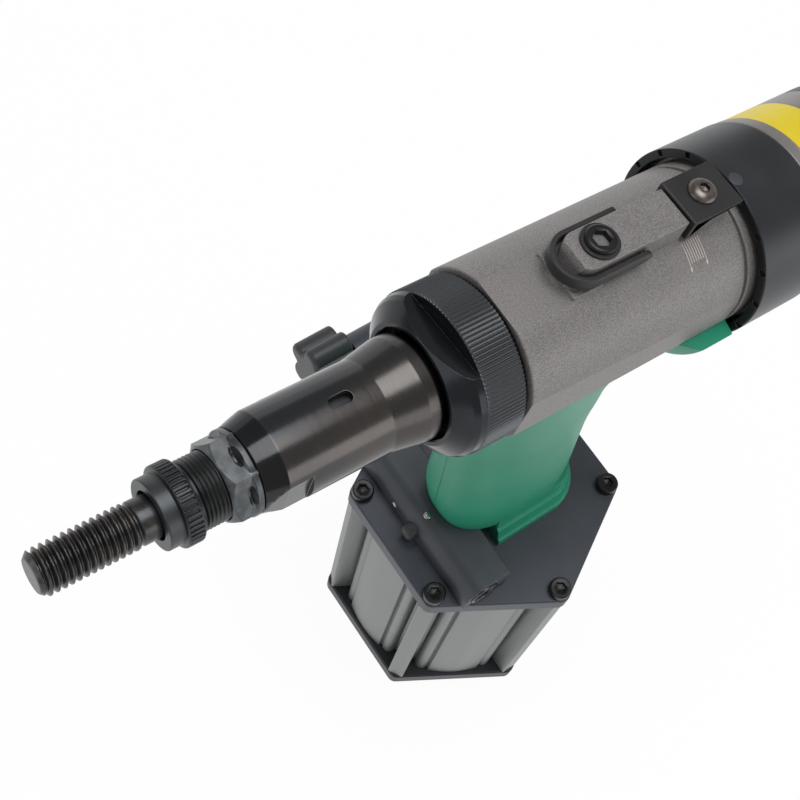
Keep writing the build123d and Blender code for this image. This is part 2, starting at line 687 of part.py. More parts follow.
def grip_section(z, half_width, front, back, inset=0.0):
    """One level section of the grip: a smooth closed curve, squarer than an ellipse."""
    points = []
    for i in range(GRIP_POINTS):
        a = 2 * math.pi * i / GRIP_POINTS
        c = math.cos(a)
        s = math.sin(a)
        x = (half_width - inset) * math.copysign(abs(c) ** (2 / GRIP_EXPONENT), c)
        reach = (back - front) / 2 - inset
        y = (front + back) / 2 + reach * math.copysign(abs(s) ** (2 / GRIP_EXPONENT), s)
        points.append((x, y, z))
    return make_face(Spline(*points, periodic=True))


GRIP_BOTTOM = PLATE_TOP + BLOCK_HEIGHT + FACE_GAP
# Level sections of the grip: height, half width, front and back
GRIP_LEVELS = [
    (GRIP_BOTTOM, 18.0, -26.5, 31.0),
    (GRIP_BOTTOM + 14.4, 18.4, -29.6, 30.0),
    (GRIP_BOTTOM + 36.4, 17.2, -31.4, 28.6),
    (HEAD_HEIGHT - 83.0, 16.8, -33.0, 26.5),
    (HEAD_HEIGHT - 66.0, 17.6, -35.5, 25.4),
    (HEAD_HEIGHT - 46.0, 18.6, -39.5, 24.6),
    (HEAD_HEIGHT - 24.0, 20.8, -42.0, 28.0),
    (HEAD_HEIGHT - 12.0, 22.0, -42.6, 31.0),
]


def grip_core(inset=0.0):
    sections = [grip_section(z, w, f, b, inset) for z, w, f, b in GRIP_LEVELS]
    return loft(sections)


def foot_outline(inset, front):
    """The grip's foot: straight sides and a half-elliptical back."""
    half = FOOT_HALF_WIDTH - inset
    reach = FOOT_ARC_REACH - inset
    back = Pos(0, FOOT_ARC_Y) * Ellipse(half, reach)
    sides = Pos(0, (front + FOOT_ARC_Y) / 2) * Rectangle(2 * half, FOOT_ARC_Y - front)
    rear = Pos(0, FOOT_ARC_Y + reach / 2) * Rectangle(2 * half, reach)
    return (back & rear) + sides


def grip_foot():
    z1 = PLATE_TOP + FOOT_HEIGHT
    z2 = z1 + FOOT_STEP_HEIGHT
    z3 = GRIP_BOTTOM + FOOT_WAIST_LAP
    flange = Pos(0, 0, PLATE_TOP) * extrude(foot_outline(0, FOOT_FRONT), amount=FOOT_HEIGHT)
    flange = chamfer(flange.faces().sort_by(Axis.Z)[-1].edges(), FOOT_EDGE)
    step = Pos(0, 0, z1) * extrude(foot_outline(FOOT_STEP_INSET, FOOT_FRONT), amount=z2 - z1)
    waist = Pos(0, 0, z2) * extrude(foot_outline(FOOT_STEP_TOP_INSET, FOOT_FRONT), amount=z3 - z2)
    return flange + step + waist


def head_clearance(radius):
    """The space that the head fills above the grip."""
    return HEAD * tube_y(RING_THREAD_FRONT - PLATE_THICKNESS, CAP_BACK, radius)


def saddle():
    """Half collar of the grip, under the head's rear end."""
    inner = HEAD_RADIUS - SADDLE_LAP
    outer = turned([(SADDLE_START, inner), (SADDLE_START, HEAD_RADIUS - SADDLE_LAP / 2),
                    (SADDLE_FLARE_END, HEAD_RADIUS + SADDLE_WALL),
                    (SADDLE_END, HEAD_RADIUS + SADDLE_WALL), (SADDLE_END, inner)])
    half = 2 * HEAD_RADIUS
    rise = half / math.tan(math.radians(SADDLE_HALF_ANGLE))
    wedge = make_face(Polyline((0, 0, 0), (half, 0, -rise), (half, 0, -half), (-half, 0, -half),
                               (-half, 0, -rise), close=True))
    lower = extrude(wedge, amount=2 * SADDLE_END, dir=(0, 1, 0))
    return HEAD * (outer & lower)


def trigger_slot():
    """The opening in the grip's front that the trigger swings in."""
    half = TRIGGER_HALF_WIDTH + TRIGGER_SLOT_GAP
    return block(-half, half, 2 * TRIGGER_FRONT, TRIGGER_SLOT_BACK, TRIGGER_SLOT_BOTTOM, TRIGGER_SLOT_TOP)


def grip():
    """The moulded grip as one shell, before it is parted along its seam."""
    shape = grip_core() + grip_foot() + saddle()
    shape -= head_clearance(HEAD_RADIUS + SEAT_GAP)
    hollow = grip_core(GRIP_WALL) - head_clearance(HEAD_RADIUS + GRIP_WALL)
    shape -= hollow
    shape -= tube_z(PLATE_TOP, GRIP_BOTTOM + FOOT_WAIST_LAP + 2, PUMP_TUBE_RADIUS + 1.0)
    shape -= tube_z(HEAD_NECK_BOTTOM - 1, HEAD_HEIGHT, HEAD_NECK_RADIUS + SEAT_GAP)
    shape -= trigger_slot()
    pin = TRIGGER_PIN_LENGTH / 2
    shape -= rod_x(-pin, pin, TRIGGER_PIN_Y, TRIGGER_PIN_Z, TRIGGER_PIN_RADIUS + SEAT_GAP)
    return shape


def grip_halves():
    """The two shells, parted on the plane X = 0."""
    shape = grip()
    reach = WORK_SPACE
    left = shape & block(0, reach, -reach, reach, 0, reach)
    right = shape & block(-reach, 0, -reach, reach, 0, reach)
    return left, right


# Trigger

def trigger():
    """Short curved trigger that swings on a cross pin under the head."""
    top = TRIGGER_PIN_Z + TRIGGER_BOSS
    heel = TRIGGER_PIN_Y + TRIGGER_BOSS
    waist = TRIGGER_PIN_Z - TRIGGER_BOSS
    middle = (TRIGGER_BOTTOM + top) / 2
    back = Polyline((0, TRIGGER_PIN_Y, top), (0, heel, TRIGGER_PIN_Z),
                    (0, TRIGGER_BACK, waist - TRIGGER_BOSS), (0, TRIGGER_BACK, TRIGGER_BOTTOM),
                    (0, TRIGGER_TOE, TRIGGER_BOTTOM))
    front = ThreePointArc((0, TRIGGER_TOE, TRIGGER_BOTTOM), (0, TRIGGER_FRONT, middle),
                          (0, TRIGGER_CROWN, top))
    crown = Line((0, TRIGGER_CROWN, top), (0, TRIGGER_PIN_Y, top))
    width = TRIGGER_HALF_WIDTH
    profile = make_face([back, front, crown])
    lever = Pos(-width, 0, 0) * extrude(profile, amount=2 * width, dir=(1, 0, 0))
    return lever - rod_x(-width, width, TRIGGER_PIN_Y, TRIGGER_PIN_Z, TRIGGER_PIN_RADIUS + RUNNING_FIT)


def trigger_pin():
    half = TRIGGER_PIN_LENGTH / 2
    return rod_x(-half, half, TRIGGER_PIN_Y, TRIGGER_PIN_Z, TRIGGER_PIN_RADIUS)


def valve_bush():
    """Sleeve on the pump tube that guides the trigger's plunger."""
    bush = rod_y(VALVE_BUSH_FRONT, VALVE_BUSH_BACK, 0, PLUNGER_Z, VALVE_BUSH_RADIUS)
    return bush - rod_y(VALVE_BUSH_FRONT, VALVE_BUSH_BACK - VALVE_BUSH_FLOOR, 0, PLUNGER_Z,
                        PLUNGER_RADIUS + RUNNING_FIT)


def trigger_plunger():
    head = rod_y(PLUNGER_FRONT, PLUNGER_FRONT + PLUNGER_HEAD_THICKNESS, 0, PLUNGER_Z,
                 PLUNGER_HEAD_RADIUS)
    return head + rod_y(PLUNGER_FRONT, PLUNGER_BACK, 0, PLUNGER_Z, PLUNGER_RADIUS)


def trigger_spring():
    y0 = PLUNGER_FRONT + PLUNGER_HEAD_THICKNESS + SEAT_GAP
    return Pos(0, y0, PLUNGER_Z) * small_spring(VALVE_BUSH_FRONT - SEAT_GAP - y0)


# Head casting and what is on it

def side_flats():
    """The two drafted slabs that are cut from the barrel's sides, deepest at the front."""
    reach = 2 * HEAD_REAR + HEAD_RADIUS
    slab = block(0, HEAD_RADIUS, 0, reach, -HEAD_RADIUS, HEAD_RADIUS)
    left = Pos(SIDE_FLAT_X, HEAD_FRONT, 0) * Rot(0, 0, -SIDE_FLAT_DRAFT) * slab
    right = Pos(-SIDE_FLAT_X, HEAD_FRONT, 0) * Rot(0, 0, SIDE_FLAT_DRAFT) * (Pos(-HEAD_RADIUS, 0, 0) * slab)
    keep = tube_y(HEAD_FRONT - 1, HEAD_REAR, 2 * HEAD_RADIUS)
    return [left & keep, right & keep]


def head_casting():
    """Hydraulic head: round barrel with flats, boss and rib, bored for the draw piston."""
    r = HEAD_RADIUS
    barrel = turned([
        (RING_THREAD_FRONT, 0), (RING_THREAD_FRONT, RING_THREAD_RADIUS - 1),
        (RING_THREAD_FRONT + 1, RING_THREAD_RADIUS), (HEAD_FRONT, RING_THREAD_RADIUS),
        (HEAD_FRONT, r - HEAD_EDGE), (HEAD_FRONT + HEAD_EDGE, r), (HEAD_REAR - HEAD_EDGE, r),
        (HEAD_REAR, r - HEAD_EDGE),
        (HEAD_REAR, STEP_GROOVE_RADIUS), (STEP_GROOVE_BACK, STEP_GROOVE_RADIUS),
        (STEP_GROOVE_BACK, STEP_RING_RADIUS), (STEP_RING_BACK, STEP_RING_RADIUS),
        (STEP_RING_BACK, STEP_GROOVE_RADIUS), (SLEEVE_MOUTH_BACK, STEP_GROOVE_RADIUS),
        (SLEEVE_MOUTH_BACK, SLEEVE_THREAD_RADIUS), (HEAD_SPIGOT_END, SLEEVE_THREAD_RADIUS),
        (HEAD_SPIGOT_END, 0)])
    for slab in side_flats():
        barrel -= slab
    barrel -= block(-r, r, HEAD_FRONT - 1, TOP_FLAT_BACK, TOP_FLAT_Z, r)
    barrel -= block(REAR_SPOT_X, r, REAR_SPOT_FRONT, HEAD_REAR, -REAR_SPOT_HALF, REAR_SPOT_HALF)
    barrel += platform() + rib() + lock_pad()
    neck = tube_z(HEAD_NECK_BOTTOM, HEAD_HEIGHT - 10, HEAD_NECK_RADIUS)
    casting = HEAD * barrel + neck
    casting -= HEAD * turned([
        (HYDRAULIC_FRONT, 0), (HYDRAULIC_FRONT, HYDRAULIC_RADIUS),
        (REAR_CAVITY_FRONT, HYDRAULIC_RADIUS), (REAR_CAVITY_FRONT, REAR_CAVITY_RADIUS),
        (HEAD_SPIGOT_END, REAR_CAVITY_RADIUS), (HEAD_SPIGOT_END, 0)])
    casting -= HEAD * tube_y(RING_THREAD_FRONT, HYDRAULIC_FRONT, PISTON_SLEEVE_RADIUS + RUNNING_FIT)
    casting -= HEAD * tube_y(RING_THREAD_FRONT, NOSE_SPIGOT_BACK + 0.5, NOSE_SPIGOT_RADIUS + RUNNING_FIT)
    casting -= tube_z(HEAD_NECK_BOTTOM, PUMP_TUBE_TOP + FACE_GAP, PUMP_TUBE_RADIUS + RUNNING_FIT)
    casting -= tube_z(PUMP_TUBE_TOP, HEAD_HEIGHT, OIL_PASSAGE_RADIUS)
    casting -= HEAD * (oil_plug_space() + lock_screw_space() + bail_pin_space())
    return casting


def platform():
    """Raised spot ahead of the boss."""
    spot = block(-PLATFORM_HALF_WIDTH, PLATFORM_HALF_WIDTH, TOP_FLAT_BACK, PLATFORM_BACK, RIB_ROOT,
                 PLATFORM_TOP)
    return spot


def rib():
    """Boss and rib on the crown of the barrel, with a sloping front."""
    side = make_face(Polyline((0, RIB_FRONT_BOTTOM, RIB_ROOT), (0, RIB_FRONT_BOTTOM, PLATFORM_TOP),
                              (0, RIB_FRONT_TOP, RIB_TOP), (0, RIB_REAR, RIB_TOP),
                              (0, RIB_REAR, RIB_ROOT), close=True))
    bar = Pos(-RIB_HALF_WIDTH, 0, 0) * extrude(side, amount=2 * RIB_HALF_WIDTH, dir=(1, 0, 0))
    nose_y = RIB_FRONT_BOTTOM + RIB_HALF_WIDTH
    plan = Pos(0, nose_y) * Circle(RIB_HALF_WIDTH)
    plan += Pos(0, (nose_y + RIB_REAR) / 2) * Rectangle(2 * RIB_HALF_WIDTH, RIB_REAR - nose_y)
    return bar & (Pos(0, 0, RIB_ROOT) * extrude(plan, amount=RIB_TOP - RIB_ROOT))


def lock_pad():
    """Pad that the lock plate is screwed to."""
    return block(-PAD_HALF_WIDTH, PAD_HALF_WIDTH, PAD_FRONT, PAD_BACK, RIB_ROOT, PAD_TOP)


def oil_plug_space():
    z = RIB_TOP
    return rod_z(z - OIL_PLUG_DEPTH - 1, z, 0, OIL_PLUG_Y, OIL_PLUG_RADIUS)


def oil_plug():
    """Filler plug with a flat head and a hexagon socket."""
    z = RIB_TOP + PLUG_SEAL_THICKNESS
    top = z + OIL_PLUG_HEAD_HEIGHT
    plug = rod_z(z - OIL_PLUG_DEPTH, z, 0, OIL_PLUG_Y, OIL_PLUG_RADIUS)
    head = Pos(0, OIL_PLUG_Y, 0) * tube_z(z, top, OIL_PLUG_HEAD_RADIUS)
    head = chamfer(head.edges().group_by(Axis.Z)[-1], 0.5)
    socket = Pos(0, OIL_PLUG_Y, 0) * hex_z(top - OIL_PLUG_SOCKET_DEPTH, top, OIL_PLUG_SOCKET_FLATS)
    return HEAD * (plug + head - socket)


def plug_seal():
    ring = tube_z(RIB_TOP, RIB_TOP + PLUG_SEAL_THICKNESS, PLUG_SEAL_RADIUS, OIL_PLUG_RADIUS)
    return HEAD * (Pos(0, OIL_PLUG_Y, 0) * ring)


def bail_pin_space():
    reach = RIB_HALF_WIDTH - BAIL_PIN_DEPTH - FACE_GAP
    radius = BAIL_PIN_RADIUS + RUNNING_FIT
    return rod_x(reach, RIB_HALF_WIDTH, BAIL_PIVOT_Y, BAIL_PIVOT_Z, radius) + \
        rod_x(-RIB_HALF_WIDTH, -reach, BAIL_PIVOT_Y, BAIL_PIVOT_Z, radius)


def hanging_bail():
    """U-shaped strip that folds forward round the boss, with a stub pin at each end."""
    inner = BAIL_INNER_HALF
    outer = inner + BAIL_THICKNESS
    z0 = BAIL_PIVOT_Z - BAIL_HEIGHT / 2

    def u_shape(half):
        legs = Pos(0, (BAIL_BEND_Y + BAIL_PIVOT_Y) / 2) * \
            Rectangle(2 * half, BAIL_PIVOT_Y - BAIL_BEND_Y)
        bend = Pos(0, BAIL_BEND_Y) * Circle(half)
        return legs + bend

    strip = Pos(0, 0, z0) * extrude(u_shape(outer) - u_shape(inner), amount=BAIL_HEIGHT)
    for side in (1, -1):
        x0, x1 = sorted((side * inner, side * outer))
        strip += rod_x(x0, x1, BAIL_PIVOT_Y, BAIL_PIVOT_Z, BAIL_HEIGHT / 2)
        x0, x1 = sorted((side * (RIB_HALF_WIDTH - BAIL_PIN_DEPTH), side * inner))
        strip += rod_x(x0, x1, BAIL_PIVOT_Y, BAIL_PIVOT_Z, BAIL_PIN_RADIUS)
    return HEAD * strip


def lock_screw_space():
    return rod_z(PAD_TOP - LOCK_SCREW_DEPTH, PAD_TOP, 0, LOCK_SCREW_Y, LOCK_SCREW_RADIUS)


def lock_plate():
    """Folded plate with a front flange that reaches down to the barrel."""
    w = LOCK_PLATE_HALF_WIDTH
    z0 = PAD_TOP
    z1 = z0 + LOCK_PLATE_THICKNESS
    y1 = LOCK_PLATE_FRONT + LOCK_PLATE_THICKNESS
    plate = block(-w, w, LOCK_PLATE_FRONT, LOCK_PLATE_BACK, z0, z1)
    flange = block(-w, w, LOCK_PLATE_FRONT, y1, LOCK_PLATE_FLANGE_BOTTOM, z0)
    flange -= tube_y(0, 60, HEAD_RADIUS + FACE_GAP)
    plate += flange
    fold = plate.edges().filter_by(Axis.X).sort_by_distance((0, LOCK_PLATE_FRONT, z1))[0]
    plate = fillet(fold, 0.8)
    plate -= rod_z(z0, z1, 0, LOCK_SCREW_Y, LOCK_SCREW_RADIUS + SEAT_GAP)
    return HEAD * plate


def lock_screw():
    """Button-head screw of the lock plate."""
    z = PAD_TOP + LOCK_PLATE_THICKNESS
    rise = LOCK_SCREW_HEAD_HEIGHT
    dome = Pos(0, 0, rise - (LOCK_SCREW_HEAD_RADIUS ** 2 + rise ** 2) / (2 * rise)) * \
        Sphere((LOCK_SCREW_HEAD_RADIUS ** 2 + rise ** 2) / (2 * rise))
    head = dome & tube_z(0, rise, LOCK_SCREW_HEAD_RADIUS)
    head -= hex_z(rise - LOCK_SCREW_SOCKET_DEPTH, rise, LOCK_SCREW_SOCKET_FLATS)
    shank = tube_z(-LOCK_SCREW_DEPTH - LOCK_PLATE_THICKNESS + FACE_GAP, 0, LOCK_SCREW_RADIUS)
    return HEAD * (Pos(0, LOCK_SCREW_Y, z) * (head + shank))


# Rear sleeve and motor housing

def adjuster_sleeve():
    """Stroke adjuster: a sleeve with a ring of notches in its front face."""
    sleeve = turned([
        (SLEEVE_FRONT, SLEEVE_MOUTH_RADIUS), (SLEEVE_FRONT, SLEEVE_RADIUS - SLEEVE_CHAMFER),
        (SLEEVE_FRONT + SLEEVE_CHAMFER, SLEEVE_RADIUS), (SLEEVE_BACK - SLEEVE_CHAMFER, SLEEVE_RADIUS),
        (SLEEVE_BACK, SLEEVE_RADIUS - SLEEVE_CHAMFER), (SLEEVE_BACK, SLEEVE_THREAD_RADIUS + RUNNING_FIT),
        (SLEEVE_MOUTH_BACK, SLEEVE_THREAD_RADIUS + RUNNING_FIT),
        (SLEEVE_MOUTH_BACK, SLEEVE_MOUTH_RADIUS)])
    notch = block(-SLEEVE_NOTCH_WIDTH / 2, SLEEVE_NOTCH_WIDTH / 2, SLEEVE_FRONT,
                  SLEEVE_FRONT + SLEEVE_NOTCH_DEPTH, SLEEVE_MOUTH_RADIUS - 1, SLEEVE_RADIUS + 1)
    for angle in round_y(SLEEVE_NOTCHES, 360 / SLEEVE_NOTCHES / 2):
        sleeve -= Rot(0, angle, 0) * notch
    return HEAD * sleeve


def rear_collar():
    return HEAD * tube_y(COLLAR_FRONT, COLLAR_BACK, COLLAR_RADIUS, HOUSING_SPIGOT_RADIUS + SEAT_GAP)


def motor_housing():
    """Barrel round the air motor, with a spigot inside the sleeve and collar."""
    spigot_front = HEAD_SPIGOT_END + FACE_GAP
    barrel = turned([
        (spigot_front, REAR_CAVITY_RADIUS), (spigot_front, HOUSING_SPIGOT_RADIUS),
        (COLLAR_BACK, HOUSING_SPIGOT_RADIUS), (COLLAR_BACK, HOUSING_RADIUS - 0.6),
        (COLLAR_BACK + 0.6, HOUSING_RADIUS), (BAND_FRONT, HOUSING_RADIUS),
        (BAND_FRONT, HOUSING_RADIUS - BAND_THICKNESS), (BAND_BACK, HOUSING_RADIUS - BAND_THICKNESS),
        (BAND_BACK, HOUSING_RADIUS), (HOUSING_BACK, HOUSING_RADIUS),
        (HOUSING_BACK, REAR_CAVITY_RADIUS)])
    for angle in round_y(CAP_SCREWS, 45):
        hole = rod_y(HOUSING_BACK - CAP_SCREW_LENGTH + 2, HOUSING_BACK, CAP_SCREW_CIRCLE, 0,
                     CAP_SCREW_RADIUS)
        barrel -= Rot(0, angle, 0) * hole
    return HEAD * barrel


def label_band():
    """Blank yellow band let into the housing."""
    return HEAD * tube_y(BAND_FRONT, BAND_BACK, HOUSING_RADIUS, HOUSING_RADIUS - BAND_THICKNESS)


def rear_cap():
    """End cap with a ring of exhaust slots and a hole for a hexagon key."""
    y0 = HOUSING_BACK
    r = HOUSING_RADIUS
    cap = tube_y(y0, CAP_BACK, r)
    cap = fillet(cap.edges().group_by(Axis.Y)[-1], CAP_EDGE_RADIUS)
    cap -= tube_y(y0, CAP_BACK - CAP_WALL, REAR_CAVITY_RADIUS)
    for angle in round_y(CAP_SLOTS):
        slot = block(CAP_SLOT_INNER, CAP_SLOT_OUTER, CAP_BACK - CAP_WALL - 1, CAP_BACK,
                     -CAP_SLOT_WIDTH / 2, CAP_SLOT_WIDTH / 2)
        cap -= Rot(0, angle, 0) * slot
    for angle in round_y(CAP_SCREWS, 45):
        hole = rod_y(y0, CAP_BACK, CAP_SCREW_CIRCLE, 0, CAP_SCREW_RADIUS + SEAT_GAP)
        sink = rod_y(CAP_BACK - CAP_SCREW_SINK, CAP_BACK, CAP_SCREW_CIRCLE, 0,
                     CAP_SCREW_HEAD_RADIUS + SEAT_GAP)
        cap -= Rot(0, angle, 0) * (hole + sink)
    return HEAD * cap


def rear_screws():
    """Four screws that hold the end cap."""
    screws = []
    for angle in round_y(CAP_SCREWS, 45):
        seat = CAP_BACK - CAP_SCREW_SINK
        head = rod_y(seat, seat + 2.2, CAP_SCREW_CIRCLE, 0, CAP_SCREW_HEAD_RADIUS)
        socket = Pos(CAP_SCREW_CIRCLE, 0, 0) * hex_y(seat + 1.0, seat + 2.2, 2.0)
        shank = rod_y(HOUSING_BACK - CAP_SCREW_LENGTH + 4, seat, CAP_SCREW_CIRCLE, 0, CAP_SCREW_RADIUS)
        screws.append(HEAD * (Rot(0, angle, 0) * (head + shank - socket)))
    return screws


# Nose

def mandrel():
    """Threaded pull stud with a socket head that the adapter holds."""
    body = turned([
        (MANDREL_TIP, 0), (MANDREL_TIP, MANDREL_TIP_RADIUS),
        (MANDREL_TIP + MANDREL_THREAD_RADIUS - MANDREL_TIP_RADIUS, MANDREL_THREAD_RADIUS),
        (MANDREL_THREAD_BACK, MANDREL_THREAD_RADIUS),
        (MANDREL_THREAD_BACK + 0.4, MANDREL_UNDERCUT_RADIUS),
        (MANDREL_SHANK_FRONT, MANDREL_UNDERCUT_RADIUS),
        (MANDREL_SHANK_FRONT + 0.4, MANDREL_SHANK_RADIUS),
        (MANDREL_HEAD_FRONT, MANDREL_SHANK_RADIUS), (MANDREL_HEAD_FRONT, MANDREL_HEAD_RADIUS),
        (MANDREL_HEAD_BACK, MANDREL_HEAD_RADIUS), (MANDREL_HEAD_BACK, 0)])
    body -= hex_y(MANDREL_HEAD_BACK - MANDREL_SOCKET_DEPTH, MANDREL_HEAD_BACK, MANDREL_SOCKET_FLATS)
    return HEAD * body


def anvil():
    """Nosepiece: plain collar, slotted grip band, groove and thread."""
    body = turned([
        (ANVIL_FRONT, ANVIL_BORE_RADIUS), (ANVIL_FRONT, ANVIL_COLLAR_RADIUS - 0.3),
        (ANVIL_FRONT + 0.3, ANVIL_COLLAR_RADIUS), (ANVIL_BAND_FRONT, ANVIL_COLLAR_RADIUS),
        (ANVIL_BAND_FRONT + 0.2, ANVIL_BAND_RADIUS - 0.3), (ANVIL_BAND_FRONT + 0.6, ANVIL_BAND_RADIUS),
        (ANVIL_BAND_BACK - 0.5, ANVIL_BAND_RADIUS), (ANVIL_BAND_BACK, ANVIL_BAND_RADIUS - 0.5),
        (ANVIL_BAND_BACK, ANVIL_GROOVE_RADIUS), (ANVIL_GROOVE_BACK, ANVIL_GROOVE_RADIUS),
        (ANVIL_GROOVE_BACK + 0.4, ANVIL_THREAD_RADIUS), (ANVIL_BACK, ANVIL_THREAD_RADIUS),
        (ANVIL_BACK, ANVIL_BORE_RADIUS)])
    slot_radius = ANVIL_BAND_RADIUS - ANVIL_SLOT_DEPTH
    slot = block(-ANVIL_SLOT_WIDTH / 2, ANVIL_SLOT_WIDTH / 2, ANVIL_BAND_FRONT + ANVIL_SLOT_MARGIN,
                 ANVIL_BAND_BACK - ANVIL_SLOT_MARGIN, slot_radius, ANVIL_BAND_RADIUS + 1)
    for angle in round_y(ANVIL_BAND_SLOTS):
        body -= Rot(0, angle, 0) * slot
    return HEAD * body


def lock_nut():
    """Flanged hexagon nut with chamfered corners."""
    hexagon = hex_y(NUT_FRONT, NUT_BACK, 2 * NUT_APOTHEM)
    corner = NUT_APOTHEM / math.cos(math.radians(30))
    envelope = turned([
        (NUT_FRONT, 0), (NUT_FRONT, NUT_APOTHEM - 0.3), (NUT_FRONT + 1.4, corner + 0.2),
        (NUT_BACK, corner + 0.2), (NUT_BACK, 0)])
    flange = turned([
        (NUT_FLANGE_FRONT - 1.7, NUT_APOTHEM - 0.6), (NUT_FLANGE_FRONT, NUT_FLANGE_RADIUS),
        (NUT_BACK - 0.3, NUT_FLANGE_RADIUS), (NUT_BACK, NUT_FLANGE_RADIUS - 0.3),
        (NUT_BACK, 0), (NUT_FLANGE_FRONT - 1.7, 0)])
    nut = (hexagon & envelope) + flange
    return HEAD * (nut - tube_y(NUT_FRONT, NUT_BACK, ANVIL_THREAD_RADIUS + RUNNING_FIT))


def nose_slot():
    """A rounded window through the top of the housing's wall."""
    half = (NOSE_SLOT_LENGTH - NOSE_SLOT_WIDTH) / 2
    reach = NOSE_RADIUS + 2
    window = block(-NOSE_SLOT_WIDTH / 2, NOSE_SLOT_WIDTH / 2, NOSE_SLOT_Y - half,
                   NOSE_SLOT_Y + half, 0, reach)
    for end in (-half, half):
        window += rod_z(0, reach, 0, NOSE_SLOT_Y + end, NOSE_SLOT_WIDTH / 2)
    return window


def nose_housing():
    """Turned nose with a flared rear end, spanner flats and two windows."""
    round_ = NOSE_SHOULDER_ROUND
    body = turned([
        (NOSE_FRONT, ANVIL_THREAD_RADIUS + RUNNING_FIT), (NOSE_FRONT, NOSE_FRONT_RADIUS),
        (NOSE_CHAMFER_BACK, NOSE_RADIUS), (NOSE_FLARE_FRONT, NOSE_RADIUS),
        (NOSE_FLARE_BACK, NOSE_FLARE_RADIUS), (NOSE_SHOULDER - round_, NOSE_FLARE_RADIUS),
        (NOSE_SHOULDER, NOSE_FLARE_RADIUS - round_), (NOSE_SHOULDER, NOSE_NECK_RADIUS),
        (NOSE_FLANGE_FRONT, NOSE_NECK_RADIUS), (NOSE_FLANGE_FRONT, NOSE_FLANGE_RADIUS),
        (NOSE_FLANGE_BACK, NOSE_FLANGE_RADIUS), (NOSE_FLANGE_BACK, NOSE_SPIGOT_RADIUS),
        (NOSE_SPIGOT_BACK, NOSE_SPIGOT_RADIUS), (NOSE_SPIGOT_BACK, NOSE_BORE_RADIUS),
        (NOSE_THREAD_BACK, NOSE_BORE_RADIUS),
        (NOSE_THREAD_BACK, ANVIL_THREAD_RADIUS + RUNNING_FIT)])
    reach = NOSE_FLARE_RADIUS
    for x0, x1 in ((NOSE_FLAT_X, reach), (-reach, -NOSE_FLAT_X)):
        body -= block(x0, x1, NOSE_FRONT, NOSE_FLAT_BACK, -reach, reach)
    body -= nose_slot() + Rot(0, 180, 0) * nose_slot()
    return HEAD * body


def ring_nut():
    """Ring nut that holds the nose: domed front with two spanner flats, plain grip band."""
    band = RING_RADIUS
    outline = [
        (RING_FRONT, RING_LIP_RADIUS + 0.4), (RING_FRONT, RING_FACE_RADIUS),
        (RING_SLOPE_Y, RING_SLOPE_RADIUS),
        (RING_SHOULDER_Y, RING_SHOULDER_RADIUS), (RING_KNURL_FRONT, band),
        (RING_KNURL_BACK, band), (RING_BACK, RING_BACK_RADIUS),
        (RING_BACK, RING_THREAD_RADIUS + RUNNING_FIT), (RING_LIP_BACK, RING_THREAD_RADIUS + RUNNING_FIT),
        (RING_LIP_BACK, RING_LIP_RADIUS), (RING_FRONT + 0.4, RING_LIP_RADIUS)]
    body = turned(outline)
    for side in (0, 180):
        flat = block(-band, band, RING_FRONT - 1, RING_KNURL_FRONT, RING_FLAT_DISTANCE, band)
        body -= Rot(0, RING_FLAT_ANGLE + side, 0) * flat
    return HEAD * body


# Draw train

def mandrel_adapter():
    """Sleeve that hooks the mandrel's head to the spindle."""
    return HEAD * turned([
        (ADAPTER_FRONT, ADAPTER_LIP_RADIUS), (ADAPTER_FRONT, ADAPTER_RADIUS),
        (ADAPTER_BACK, ADAPTER_RADIUS), (ADAPTER_BACK, ADAPTER_BORE_RADIUS),
        (MANDREL_HEAD_FRONT - FACE_GAP, ADAPTER_BORE_RADIUS),
        (MANDREL_HEAD_FRONT - FACE_GAP, ADAPTER_LIP_RADIUS)])


def spindle():
    """Pull spindle: hexagon nose, thread, collar, shaft, rear nut and drive socket."""
    shaft = turned([
        (SPINDLE_THREAD_FRONT, 0), (SPINDLE_THREAD_FRONT, ADAPTER_BORE_RADIUS - RUNNING_FIT),
        (SPINDLE_COLLAR_FRONT, ADAPTER_BORE_RADIUS - RUNNING_FIT),
        (SPINDLE_COLLAR_FRONT, SPINDLE_COLLAR_RADIUS), (SPINDLE_COLLAR_BACK, SPINDLE_COLLAR_RADIUS),
        (SPINDLE_COLLAR_BACK, SPINDLE_RADIUS), (SPINDLE_NUT_FRONT, SPINDLE_RADIUS),
        (SPINDLE_NUT_FRONT, SPINDLE_NUT_RADIUS), (SPINDLE_NUT_BACK, SPINDLE_NUT_RADIUS),
        (SPINDLE_NUT_BACK, 0)])
    nose = hex_y(SPINDLE_NOSE_FRONT, SPINDLE_THREAD_FRONT + 1, MANDREL_SOCKET_FLATS - 2 * RUNNING_FIT)
    socket = hex_y(SPINDLE_SOCKET_FRONT, SPINDLE_NUT_BACK, SPINDLE_SOCKET_FLATS)
    return HEAD * (shaft + nose - socket)


